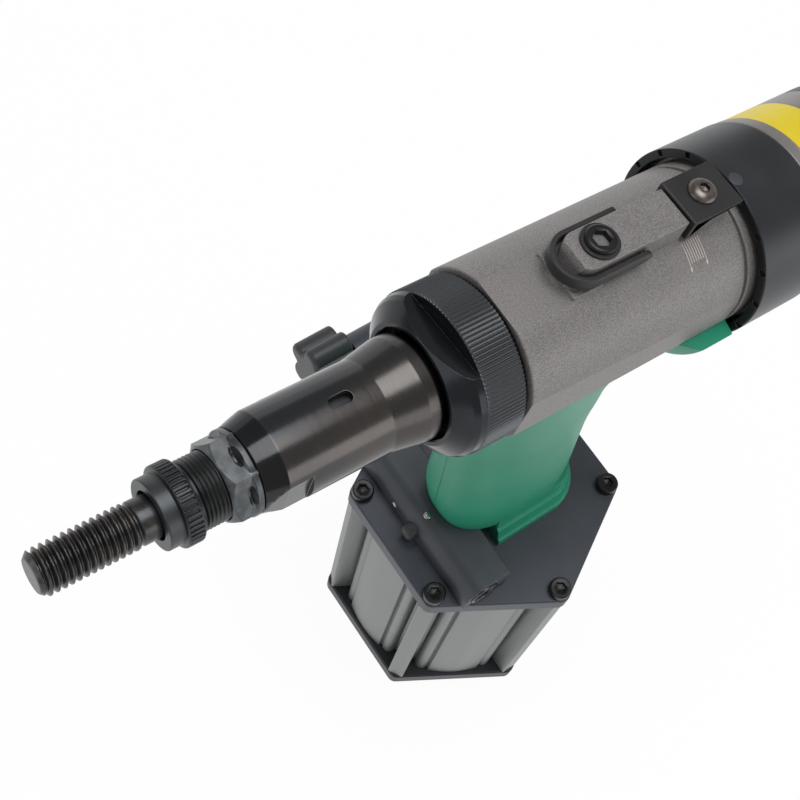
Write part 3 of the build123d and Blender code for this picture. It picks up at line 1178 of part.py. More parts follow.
def draw_piston():
    """Stepped hydraulic piston that the spindle runs through."""
    outer = HYDRAULIC_RADIUS - RUNNING_FIT
    groove0 = (PISTON_FRONT + PISTON_BACK - RING_SEAL_WIDTH) / 2
    groove1 = groove0 + RING_SEAL_WIDTH
    bore = SPINDLE_RADIUS + RUNNING_FIT
    return HEAD * turned([
        (PISTON_SLEEVE_FRONT, bore), (PISTON_SLEEVE_FRONT, PISTON_SLEEVE_RADIUS),
        (PISTON_FRONT, PISTON_SLEEVE_RADIUS), (PISTON_FRONT, outer), (groove0, outer),
        (groove0, outer - RING_SEAL_DEPTH), (groove1, outer - RING_SEAL_DEPTH), (groove1, outer),
        (PISTON_BACK, outer), (PISTON_BACK, PISTON_SLEEVE_RADIUS),
        (PISTON_SLEEVE_BACK, PISTON_SLEEVE_RADIUS), (PISTON_SLEEVE_BACK, bore)])


def draw_seal():
    outer = HYDRAULIC_RADIUS - RUNNING_FIT
    y0 = (PISTON_FRONT + PISTON_BACK - RING_SEAL_WIDTH) / 2
    return HEAD * tube_y(y0, y0 + RING_SEAL_WIDTH, outer, outer - RING_SEAL_DEPTH)


def gland_ring():
    """Threaded ring that closes the hydraulic bore."""
    return HEAD * tube_y(GLAND_FRONT, REAR_CAVITY_FRONT, HYDRAULIC_RADIUS - RUNNING_FIT,
                         PISTON_SLEEVE_RADIUS + RUNNING_FIT)


def thrust_bearing():
    """Race between the pulled spindle nut and the piston."""
    bore = SPINDLE_RADIUS + RUNNING_FIT
    return HEAD * tube_y(PISTON_SLEEVE_BACK, BEARING_BACK, BEARING_OUTER, bore)


def return_spring():
    """Coil spring between the piston and the gland."""
    room = GLAND_FRONT - PISTON_BACK
    height = room - 2 * SPRING_WIRE_RADIUS - 2 * FACE_GAP
    path = Helix(height / SPRING_TURNS, height, SPRING_COIL_RADIUS)
    wire = Plane(path @ 0, z_dir=path % 0) * Circle(SPRING_WIRE_RADIUS)
    coil = sweep(wire, path=path, is_frenet=True)
    start = PISTON_BACK + SPRING_WIRE_RADIUS + FACE_GAP
    return HEAD * (Pos(0, start, 0) * Rot(-90, 0, 0) * coil)


# Gears and motor

def gear_face(teeth, first_tooth, inner=False):
    """Flat gear outline, with straight-sided teeth thinned for backlash."""
    pitch_radius = GEAR_MODULE * teeth / 2
    half_pitch = math.pi / teeth / 2
    sign = -1 if inner else 1
    tip = pitch_radius + sign * TOOTH_TIP * GEAR_MODULE
    root = pitch_radius - sign * TOOTH_ROOT * GEAR_MODULE
    thin = TOOTH_BACKLASH / 2 / pitch_radius
    slope = math.tan(math.radians(20))
    points = []
    for i in range(teeth):
        centre = math.radians(first_tooth) + 2 * math.pi * i / teeth
        for radius, side in ((root, -1), (tip, -1), (tip, 1), (root, 1)):
            lean = sign * (pitch_radius - radius) * slope / pitch_radius
            half = half_pitch - thin + lean
            points.append((radius * math.sin(centre + side * half),
                           radius * math.cos(centre + side * half)))
    return make_face(Polyline(*points, close=True))


def gear_y(face, y0, y1):
    """A gear outline, drawn in the head's cross-section and extruded along the tool axis."""
    section = Plane((0, y0, 0), x_dir=(1, 0, 0), z_dir=(0, -1, 0)) * face
    return extrude(section, amount=-(y1 - y0))


def planet_angle(index):
    return 360 / PLANET_COUNT * index


def planet_centre():
    return GEAR_MODULE * (SUN_TEETH + PLANET_TEETH) / 2


def ring_gear():
    body = tube_y(GEAR_FRONT, GEAR_BACK, RING_GEAR_RADIUS)
    space = gear_face(RING_TEETH, 180 / RING_TEETH, inner=True)
    return HEAD * (body - gear_y(space, GEAR_FRONT, GEAR_BACK))


def planet_gear(index):
    face = gear_face(PLANET_TEETH, 0)
    gear = gear_y(face, GEAR_FRONT + 0.2, GEAR_BACK - 0.2)
    gear -= tube_y(GEAR_FRONT, GEAR_BACK, CARRIER_PIN_RADIUS + RUNNING_FIT)
    return HEAD * (Rot(0, planet_angle(index), 0) * (Pos(0, 0, planet_centre()) * gear))


def planet_carrier():
    """Carrier plate, its three pins and the hexagon that drives the spindle."""
    disc = tube_y(CARRIER_FRONT, CARRIER_BACK, CARRIER_RADIUS)
    drive = hex_y(DRIVE_HEX_FRONT, CARRIER_FRONT + 1, SPINDLE_SOCKET_FLATS - 2 * RUNNING_FIT)
    carrier = disc + drive
    for index in range(PLANET_COUNT):
        pin = rod_y(CARRIER_BACK - 1, GEAR_BACK, 0, planet_centre(), CARRIER_PIN_RADIUS)
        carrier += Rot(0, planet_angle(index), 0) * pin
    return HEAD * carrier


def sun_gear():
    face = gear_face(SUN_TEETH, 0)
    return gear_y(face, GEAR_FRONT + 0.2, GEAR_BACK)


def motor_rotor():
    """Slotted rotor with its shaft and the sun gear cut on its front end."""
    y0 = MOTOR_FRONT + ROTOR_END_GAP
    y1 = MOTOR_BACK - ROTOR_END_GAP
    drum = tube_y(y0, y1, ROTOR_RADIUS)
    slot = block(-VANE_THICKNESS / 2 - VANE_SIDE_GAP, VANE_THICKNESS / 2 + VANE_SIDE_GAP, y0, y1,
                 ROTOR_RADIUS - VANE_DEPTH, ROTOR_RADIUS + 1)
    for angle in round_y(VANES):
        drum -= Rot(0, angle, 0) * slot
    shaft = tube_y(GEAR_BACK, MOTOR_BACK + END_PLATE_THICKNESS, SUN_SHAFT_RADIUS)
    return HEAD * (drum + shaft + sun_gear())


def motor_vanes():
    """Five sliding vanes, shown pushed fully into the rotor."""
    y0 = MOTOR_FRONT + ROTOR_END_GAP
    y1 = MOTOR_BACK - ROTOR_END_GAP
    vane = block(-VANE_THICKNESS / 2, VANE_THICKNESS / 2, y0, y1, ROTOR_RADIUS - VANE_DEPTH,
                 ROTOR_RADIUS - 0.2)
    return [HEAD * (Rot(0, angle, 0) * vane) for angle in round_y(VANES)]


def motor_liner():
    """Motor cylinder with its bore set off the rotor's axis."""
    bore = Pos(0, 0, ROTOR_OFFSET) * tube_y(MOTOR_FRONT, MOTOR_BACK, MOTOR_BORE_RADIUS)
    return HEAD * (tube_y(MOTOR_FRONT, MOTOR_BACK, MOTOR_LINER_RADIUS) - bore)


def end_plate(y0):
    return HEAD * tube_y(y0, y0 + END_PLATE_THICKNESS, END_PLATE_RADIUS, MOTOR_BEARING_RADIUS)


def motor_bearing(y0):
    y1 = y0 + END_PLATE_THICKNESS
    return HEAD * tube_y(y0, y1, MOTOR_BEARING_RADIUS, SUN_SHAFT_RADIUS + RUNNING_FIT)


def build_parts():
    """Every piece of the tool, by name."""
    left_grip, right_grip = grip_halves()
    parts = {
        "bottom_plate": bottom_plate(),
        "cylinder_gaskets": [gasket(PLATE_THICKNESS), gasket(CYLINDER_Z1)],
        "cylinder_body": cylinder_body(),
        "top_plate": top_plate(),
        "top_screws": top_screws(),
        "bottom_screws": bottom_screws(),
        "air_piston": air_piston(),
        "piston_seal": piston_seal(),
        "pump_rod": pump_rod(),
        "pump_tube": pump_tube(),
        "rod_seal": rod_seal(),
        "valve_block": valve_block(),
        "channel_plugs": channel_plugs(),
        "inlet_bush": inlet_bush(),
        "reverse_button": reverse_button(),
        "button_spring": button_spring(),
        "regulator_body": regulator_body(),
        "star_knob": star_knob(),
        "left_grip_shell": left_grip,
        "right_grip_shell": right_grip,
        "trigger": trigger(),
        "trigger_pin": trigger_pin(),
        "trigger_plunger": trigger_plunger(),
        "trigger_spring": trigger_spring(),
        "valve_bush": valve_bush(),
        "head_casting": head_casting(),
        "oil_plug": oil_plug(),
        "plug_seal": plug_seal(),
        "hanging_bail": hanging_bail(),
        "lock_plate": lock_plate(),
        "lock_screw": lock_screw(),
        "adjuster_sleeve": adjuster_sleeve(),
        "rear_collar": rear_collar(),
        "motor_housing": motor_housing(),
        "label_band": label_band(),
        "rear_cap": rear_cap(),
        "rear_screws": rear_screws(),
        "mandrel": mandrel(),
        "anvil": anvil(),
        "lock_nut": lock_nut(),
        "nose_housing": nose_housing(),
        "ring_nut": ring_nut(),
        "mandrel_adapter": mandrel_adapter(),
        "spindle": spindle(),
        "draw_piston": draw_piston(),
        "draw_seal": draw_seal(),
        "gland_ring": gland_ring(),
        "thrust_bearing": thrust_bearing(),
        "return_spring": return_spring(),
        "ring_gear": ring_gear(),
        "planet_carrier": planet_carrier(),
        "motor_rotor": motor_rotor(),
        "motor_vanes": motor_vanes(),
        "motor_liner": motor_liner(),
        "motor_end_plates": [end_plate(y0) for y0 in (MOTOR_FRONT - END_PLATE_THICKNESS, MOTOR_BACK)],
        "motor_bearings": [motor_bearing(y0) for y0 in (MOTOR_FRONT - END_PLATE_THICKNESS, MOTOR_BACK)],
    }
    for index in range(PLANET_COUNT):
        parts[f"planet_gear_{index + 1}"] = planet_gear(index)
    return parts


def main():
    os.makedirs("parts", exist_ok=True)
    for name, shape in build_parts().items():
        solids = []
        for piece in (shape if isinstance(shape, list) else [shape]):
            solids.extend(piece.solids())
        export_step(Compound(children=solids) if len(solids) > 1 else solids[0],
                    f"parts/{name}.step")
        print(name, len(solids), round(sum(s.volume for s in solids), 1))


main()
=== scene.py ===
"""Looks of a hydropneumatic rivet nut tool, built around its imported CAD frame.

Sizes are in millimetres and become metres when a mesh is written. The head of the tool has a frame
of its own, with its origin where the tool axis meets the handle axis and +Y running back along the
tool axis. Everything below the head is in the base's frame, with the bottom plate at Z 0. Angles
about the tool axis start at the crown and turn towards +X.
"""

from __future__ import annotations

import json
import logging
import math
from collections.abc import Callable
from dataclasses import dataclass
from enum import Enum

import bmesh
import bpy
import numpy as np
from mathutils import Matrix, Vector

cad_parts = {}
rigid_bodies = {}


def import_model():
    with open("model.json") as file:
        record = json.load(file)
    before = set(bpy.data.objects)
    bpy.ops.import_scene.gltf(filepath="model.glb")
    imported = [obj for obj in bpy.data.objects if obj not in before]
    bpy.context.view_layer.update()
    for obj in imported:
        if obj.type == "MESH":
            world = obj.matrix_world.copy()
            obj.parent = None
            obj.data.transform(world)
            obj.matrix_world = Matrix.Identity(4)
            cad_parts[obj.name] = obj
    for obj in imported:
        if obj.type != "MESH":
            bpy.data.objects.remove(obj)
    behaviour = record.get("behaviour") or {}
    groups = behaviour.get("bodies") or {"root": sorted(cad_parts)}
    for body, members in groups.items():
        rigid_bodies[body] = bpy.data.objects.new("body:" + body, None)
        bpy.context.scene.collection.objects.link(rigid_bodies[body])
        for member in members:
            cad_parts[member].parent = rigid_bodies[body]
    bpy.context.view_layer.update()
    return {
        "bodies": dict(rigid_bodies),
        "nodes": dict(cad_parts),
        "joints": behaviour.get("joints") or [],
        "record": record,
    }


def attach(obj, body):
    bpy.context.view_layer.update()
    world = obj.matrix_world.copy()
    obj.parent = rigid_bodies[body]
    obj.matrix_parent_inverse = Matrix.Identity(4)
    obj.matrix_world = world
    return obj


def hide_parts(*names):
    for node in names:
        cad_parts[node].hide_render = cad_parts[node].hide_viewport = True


LOG = logging.getLogger("rivet_nut_tool")
METRE = 0.001
HEAD_HEIGHT = 278.0
HEAD_TILT = math.radians(8.27)
HEAD_RADIUS = 26.2
HEAD_COLUMNS = 288
REAR_COLUMNS = 256
PLATE_TOP = 121.4
PLATE_CORNERS = 6
SHARP_ANGLE = math.radians(32)
SPLIT_ANGLE = math.radians(28)
WELD_DISTANCE = 1e-6
ZONE_BLUR = 0.15
TURNING_SCALE = 1800.0
MIX_INPUTS = (0, 6, 7)
MIX_OUTPUT = 2
FULL_TURN = 2 * math.pi

Piece = bpy.types.Object
Socket = bpy.types.NodeSocket
Points = list[tuple[float, ...]]
# A cut takes places along the axis, radii and angles, and returns the changed places and radii.
Cut = Callable[[np.ndarray, np.ndarray, np.ndarray], tuple[np.ndarray, np.ndarray]]


class Seat(Enum):
    """The frame that a piece is drawn in."""

    BASE = "base"
    HEAD = "head"


class Along(Enum):
    """The axis that a prism runs along."""

    X = 0
    Y = 1
    Z = 2


def rounded(points: Points, radius: float | list, steps: int = 5, closed: bool = True) -> np.ndarray:
    """Rounds the corners of an outline.

    Each corner becomes an arc whose centre lies on the corner's bisector, at the radius divided by
    the sine of half the corner's angle, and whose points turn evenly between its tangent points.

    Args:
        points: The outline's corners, none of them straight.
        radius: One radius, or one for each corner.
        steps: Points on each arc.
        closed: Whether the last corner joins the first; if not, both ends stay sharp.

    Returns:
        The rounded outline, one row for each point.
    """
    corners = np.asarray(points, dtype=float)
    reach = np.broadcast_to(np.asarray(radius, dtype=float), (len(corners),))[:, None]
    back = np.roll(corners, 1, axis=0) - corners
    ahead = np.roll(corners, -1, axis=0) - corners
    back /= np.linalg.norm(back, axis=1, keepdims=True)
    ahead /= np.linalg.norm(ahead, axis=1, keepdims=True)
    half = np.arccos(np.clip((back * ahead).sum(axis=1), -1, 1))[:, None] / 2
    bisector = (back + ahead) / np.maximum(np.linalg.norm(back + ahead, axis=1, keepdims=True), 1e-9)
    centre = corners + bisector * reach / np.sin(half)
    first = corners + back * reach / np.tan(half) - centre
    last = corners + ahead * reach / np.tan(half) - centre
    turn = math.pi - 2 * half
    share = np.linspace(0, 1, steps)[None, :]
    before = (np.sin((1 - share) * turn) / np.sin(turn))[..., None] * first[:, None]
    after = (np.sin(share * turn) / np.sin(turn))[..., None] * last[:, None]
    arcs = centre[:, None] + before + after
    if closed:
        return arcs.reshape(-1, 2)
    return np.vstack((corners[:1], arcs[1:-1].reshape(-1, 2), corners[-1:]))


def dense(points: np.ndarray, step: float, closed: bool = True) -> np.ndarray:
    """Adds points along an outline so that none of its spans is longer than a step.

    Args:
        points: The outline.
        step: Longest span.
        closed: Whether the last point joins the first.

    Returns:
        The outline with every span cut into equal parts.
    """
    span = np.roll(points, -1, axis=0) - points
    parts = np.maximum(1, np.ceil(np.linalg.norm(span, axis=1) / step)).astype(int)
    if not closed:
        parts[-1] = 1
    index = np.repeat(np.arange(len(points)), parts)
    first = np.repeat(np.cumsum(parts) - parts, parts)
    share = (np.arange(parts.sum()) - first) / parts[index]
    return points[index] + share[:, None] * span[index]


def inset(outline: np.ndarray, depth: float) -> np.ndarray:
    """Moves a closed outline inwards along its normals.

    Args:
        outline: The outline's points.
        depth: How far each point moves.

    Returns:
        The smaller outline.
    """
    along = np.roll(outline, -1, axis=0) - np.roll(outline, 1, axis=0)
    along /= np.linalg.norm(along, axis=1, keepdims=True)
    x, y = outline.T
    area = (x * np.roll(y, -1) - y * np.roll(x, -1)).sum()
    normal = np.stack((along[:, 1], -along[:, 0]), axis=1) * math.copysign(1, area)
    return outline - depth * normal


def soft_ends(start: float, end: float, first: float, last: float, steps: int = 4) -> Points:
    """Levels of a prism whose two ends have rounded edges.

    Args:
        start: Where the prism starts along its axis.
        end: Where it ends.
        first: Edge radius at the start.
        last: Edge radius at the end.
        steps: Levels on each rounded edge.

    Returns:
        Height and inset of each level, the insets following quarter circles.
    """
    turn = np.linspace(0, math.pi / 2, steps)
    rise = [(start + first * (1 - math.cos(t)), first * (1 - math.sin(t))) for t in turn]
    fall = [(end - last * (1 - math.sin(t)), last * (1 - math.cos(t))) for t in turn]
    return rise + fall


def soft_min(first: np.ndarray, second: np.ndarray, blend: float = 0.25) -> np.ndarray:
    """The smaller of two values, with a smooth change over where they cross."""
    return (first + second - np.sqrt((first - second) ** 2 + blend**2)) / 2


def step_up(value: np.ndarray, start: float, end: float) -> np.ndarray:
    """A smooth step from 0 at start to 1 at end: three squared less two cubed of the share."""
    share = np.clip((value - start) / (end - start), 0, 1)
    return share * share * (3 - 2 * share)


def wave(turns: np.ndarray) -> np.ndarray:
    """A triangle wave that falls from 1 to 0 and rises to 1 again in each whole turn."""
    return np.abs(turns % 1.0 * 2 - 1)


def off_middle(angle: np.ndarray, sides: int, first: float = 0.0) -> np.ndarray:
    """Angle from the nearest of evenly spaced directions, one of which is the first."""
    sector = FULL_TURN / sides
    return (angle - first + sector / 2) % sector - sector / 2


def polygon(angle: np.ndarray, sides: int, apothem: float, first: float = 0.0) -> np.ndarray:
    """Radius of a regular polygon: its apothem over the cosine of the angle from the flat."""
    return apothem / np.cos(off_middle(angle, sides, first))


def lobe(off: np.ndarray, place: float, radius: float) -> np.ndarray:
    """How far a circle reaches in a direction: d cos a plus the root of r squared less (d sin a) squared.

    Args:
        off: The direction's angle a from the circle's centre.
        place: The centre's distance d.
        radius: The circle's radius r.

    Returns:
        The reach, and 0 where the direction misses the circle.
    """
    root = radius**2 - (place * np.sin(off)) ** 2
    return np.where(root > 0, place * np.cos(off) + np.sqrt(np.maximum(root, 0)), 0)


def rectangle(low: tuple[float, float], high: tuple[float, float]) -> Points:
    """The four corners between the lowest and the highest."""
    return [low, (high[0], low[1]), high, (low[0], high[1])]


def ellipse(centre: tuple[float, float], half: float, rise: float, count: int = 64) -> np.ndarray:
    """Points round an ellipse with the given half axes."""
    turn = np.linspace(0, FULL_TURN, count, endpoint=False)
    return np.stack((centre[0] + half * np.cos(turn), centre[1] + rise * np.sin(turn)), axis=1)


class Shell:
    """Closed surfaces of one piece, collected as grids of points in millimetres.

    The methods that add a surface return the shell, so that calls can follow one another.
    """

    def __init__(self) -> None:
        """Starts with no surface."""
        self.points: list[np.ndarray] = []
        self.faces: list[list] = []
        self.count = 0

    def grid(self, points: np.ndarray, loop: bool = False) -> Shell:
        """Adds a grid whose rows are closed rings.

        Square i, j joins the points (i, j), (i, j + 1), (i + 1, j + 1) and (i + 1, j).

        Args:
            points: Points by row, column and coordinate.
            loop: Whether the last ring joins the first; if not, a fan closes each end.

        Returns:
            The shell.
        """
        rows, columns = points.shape[:2]
        number = np.arange(rows * columns).reshape(rows, columns) + self.count
        near = number if loop else number[:-1]
        far = np.roll(number, -1, axis=0) if loop else number[1:]
        squares = np.stack((near, np.roll(near, -1, axis=1), np.roll(far, -1, axis=1), far), axis=-1)
        self.faces.extend(squares.reshape(-1, 4).tolist())
        self.points.append(points.reshape(-1, 3))
        self.count += rows * columns
        if not loop:
            self.fan(number[0][::-1], points[0].mean(axis=0))
            self.fan(number[-1], points[-1].mean(axis=0))
        return self

    def fan(self, ring: np.ndarray, centre: np.ndarray) -> None:
        """Closes a ring with triangles to its middle.

        Args:
            ring: The numbers of the ring's points.
            centre: The middle.
        """
        middle = np.full(len(ring), self.count)
        self.faces.extend(np.stack((middle, ring, np.roll(ring, -1)), axis=1).tolist())
        self.points.append(centre[None])
        self.count += 1

    def lathe(self, profile: np.ndarray, columns: int, cut: Cut | None = None, loop: bool = True,
              extra: np.ndarray | None = None) -> Shell:
        """Turns a profile about the tool axis: x is r sin a and z is r cos a.

        Args:
            profile: Place along the axis and radius of each point.
            columns: Points round the axis.
            cut: A function that changes the places and radii at each angle.
            loop: Whether the profile is closed.
            extra: More angles that the grid needs, such as both sides of a notch's wall.

        Returns:
            The shell.
        """
        angle = np.linspace(0, FULL_TURN, columns, endpoint=False)
        if extra is not None:
            angle = np.unique(np.concatenate((angle, extra % FULL_TURN)))
        y = np.repeat(profile[:, :1], len(angle), axis=1)
        r = np.repeat(profile[:, 1:], len(angle), axis=1)
        if cut:
            y, r = cut(y, r, angle[None, :])
        return self.grid(np.stack((r * np.sin(angle), y, r * np.cos(angle)), axis=-1), loop)

    def rod(self, start: float, end: float, radius: float, columns: int) -> Shell:
        """Adds a cylinder about the tool axis."""
        profile = np.array([(start, 0.5), (start, radius), (end, radius), (end, 0.5)])
        return self.lathe(profile, columns, loop=False)

    def prism(self, outline: np.ndarray, levels: Points, along: Along) -> Shell:
        """Stacks copies of a closed outline along an axis.

        Args:
            outline: Points in the two other axes, in their order.
            levels: Place along the axis and inset of each copy.
            along: The axis.

        Returns:
            The shell.
        """
        rings = [np.insert(inset(outline, depth), along.value, place, axis=1) for place, depth in levels]
        return self.grid(np.stack(rings))

    def turned_head(self, place: tuple, outline: Points, socket: float = 0.0, columns: int = 72,
                    along: Along = Along.Z, facing: int = 1, loop: bool = False,
                    cut: Cut | None = None) -> Shell:
        """Adds a round head or ring about any axis, perhaps with a hexagon socket.

        The outline's points are turned about the axis. Where the third value is 1, the ring is a
        hexagon of the socket's size instead of a circle.

        Args:
            place: The point from which heights are taken.
            outline: Height, radius and hexagon share of each ring.
            socket: Distance across the socket's flats.
            columns: Points round the axis.
            along: The direction of the axis.
            facing: 1 where the head faces up the axis and -1 where it faces down.
            loop: Whether the outline is closed.
            cut: A function that changes the heights and radii at each angle.

        Returns:
            The shell.
        """
        angle = np.linspace(0, FULL_TURN, columns, endpoint=False)
        rows = np.asarray(outline, dtype=float)
        hexagon = polygon(angle, 6, socket / 2, math.radians(30))[None, :]
        radius = rows[:, 1:2] * (1 - rows[:, 2:]) + hexagon * rows[:, 2:] * rows[:, 1:2]
        height = np.repeat(rows[:, :1] * facing, columns, axis=1)
        if cut:
            height, radius = cut(height, radius, angle[None, :])
        ring = np.stack((radius * np.cos(angle), radius * np.sin(angle)), axis=-1)
        return self.grid(np.insert(ring, along.value, height, axis=-1) + np.asarray(place), loop)

    def block(self, low: tuple, high: tuple, turn: float = 0.0) -> Shell:
        """Adds a box.

        Args:
            low: Its lowest corner.
            high: Its highest corner.
            turn: Angle by which it is turned about the tool axis, from the crown towards +X.

        Returns:
            The shell.
        """
        x, z = np.array(rectangle((low[0], low[2]), (high[0], high[2]))).T
        sine, cosine = math.sin(turn), math.cos(turn)
        ring = np.stack((x * cosine + z * sine, z * cosine - x * sine), axis=1)
        return self.grid(np.stack([np.insert(ring, 1, y, axis=1) for y in (low[1], high[1])]))

    def build(self, name: str, seat: Seat) -> Piece:
        """Writes the surfaces into a new object.

        Points in the head's frame are tilted about X and lifted to the head's height.

        Args:
            name: The piece's name.
            seat: The frame that the points are in.

        Returns:
            The object, at the origin, with its faces pointing outwards.
        """
        points = np.concatenate(self.points)
        if seat is Seat.HEAD:
            x, y, z = points.T
            sine, cosine = math.sin(HEAD_TILT), math.cos(HEAD_TILT)
            points = np.stack((x, y * cosine + z * sine, HEAD_HEIGHT - y * sine + z * cosine), axis=1)
        mesh = bpy.data.meshes.new(name)
        mesh.from_pydata((points * METRE).tolist(), [], self.faces)
        work = bmesh.new()
        work.from_mesh(mesh)
        bmesh.ops.recalc_face_normals(work, faces=work.faces)
        work.to_mesh(mesh)
        work.free()
        piece = bpy.data.objects.new(name, mesh)
        bpy.context.scene.collection.objects.link(piece)
        return piece


def turned(name: str, corners: Points, radii: float | list, arc: int, span: float, columns: int,
           cut: Cut | None = None) -> Piece:
    """A ring turned about the tool axis from a section with rounded corners.

    Args:
        name: The piece's name.
        corners: Place along the axis and radius of each corner of the section.
        radii: Rounding of the corners.
        arc: Points on each rounded corner.
        span: Longest span between two points of the section.
        columns: Points round the axis.
        cut: A function that changes the places and radii at each angle.

    Returns:
        The piece.
    """
    return Shell().lathe(dense(rounded(corners, radii, arc), span), columns, cut).build(name, Seat.HEAD)


def combine(piece: Piece, tool: Piece, operation: str = "DIFFERENCE") -> None:
    """Cuts one mesh with another, or joins them, and removes the tool.

    Args:
        piece: The mesh that is changed.
        tool: The mesh that it is combined with.
        operation: The Boolean modifier's operation.
    """
    modifier = piece.modifiers.new("combine", "BOOLEAN")
    modifier.operation = operation
    modifier.solver = "MANIFOLD"
    modifier.object = tool
    evaluated = piece.evaluated_get(bpy.context.evaluated_depsgraph_get())
    mesh = bpy.data.meshes.new_from_object(evaluated)
    piece.modifiers.clear()
    piece.data = mesh
    bpy.data.objects.remove(tool)


class Tree:
    """A node tree that makes any node from its type, its settings and its sockets."""

    def __init__(self, owner: bpy.types.ID) -> None:
        """Clears the tree of a material or a world.

        Args:
            owner: The material or world whose nodes are built.
        """
        owner.use_nodes = True
        self.tree = owner.node_tree
        self.tree.nodes.clear()

    def node(self, kind: str, settings: dict | None = None, sockets: dict | None = None) -> bpy.types.Node:
        """Adds one node, with its settings set before its sockets.

        Args:
            kind: Blender's type name of the node.
            settings: Properties of the node.
            sockets: Values or links by socket name or number.

        Returns:
            The new node.
        """
        made = self.tree.nodes.new(kind)
        for name, value in (settings or {}).items():
            setattr(made, name, value)
        for name, value in (sockets or {}).items():
            self.feed(made.inputs[name], value)
        return made

    def feed(self, socket: Socket, value: object) -> None:
        """Links a signal or a socket to a socket, or sets its value.

        Args:
            socket: The input that is fed.
            value: A Signal, a socket, a number, or a colour of three numbers.
        """
        if isinstance(value, Signal):
            value = value.socket
        if isinstance(value, Socket):
            self.tree.links.new(value, socket)
        elif isinstance(value, tuple) and socket.type == "RGBA":
            socket.default_value = (*value[:3], 1.0)
        else:
            socket.default_value = value


class Signal:
    """A number that varies over a surface, on which Python arithmetic adds Math nodes."""

    def __init__(self, tree: Tree, socket: Socket) -> None:
        """Wraps the output that carries the number."""
        self.tree = tree
        self.socket = socket

    def math(self, operation: str, *values: Signal | float) -> Signal:
        """Adds one Math node on the given operands.

        Args:
            operation: The Math node's operation.
            values: The operands in order.

        Returns:
            The result as a new signal.
        """
        made = self.tree.node("ShaderNodeMath", {"operation": operation}, dict(enumerate(values)))
        return Signal(self.tree, made.outputs[0])

    def __add__(self, other: Signal | float) -> Signal:
        """self + other"""
        return self.math("ADD", self, other)

    def __radd__(self, other: float) -> Signal:
        """other + self"""
        return self.math("ADD", other, self)

    def __sub__(self, other: Signal | float) -> Signal:
        """self - other"""
        return self.math("SUBTRACT", self, other)

    def __rsub__(self, other: float) -> Signal:
        """other - self"""
        return self.math("SUBTRACT", other, self)

    def __mul__(self, other: Signal | float) -> Signal:
        """self * other"""
        return self.math("MULTIPLY", self, other)

    def __rmul__(self, other: float) -> Signal:
        """other * self"""
        return self.math("MULTIPLY", other, self)

    def fade(self, start: float, end: float) -> Signal:
        """A smooth step from 0 at start to 1 at end.

        Args:
            start: Value of the signal where the step begins.
            end: Value of the signal where the step is complete.

        Returns:
            The step as a signal between 0 and 1.
        """
        settings = {"interpolation_type": "SMOOTHSTEP"}
        sockets = {"Value": self, "From Min": start, "From Max": end}
        made = self.tree.node("ShaderNodeMapRange", settings, sockets)
        return Signal(self.tree, made.outputs["Result"])


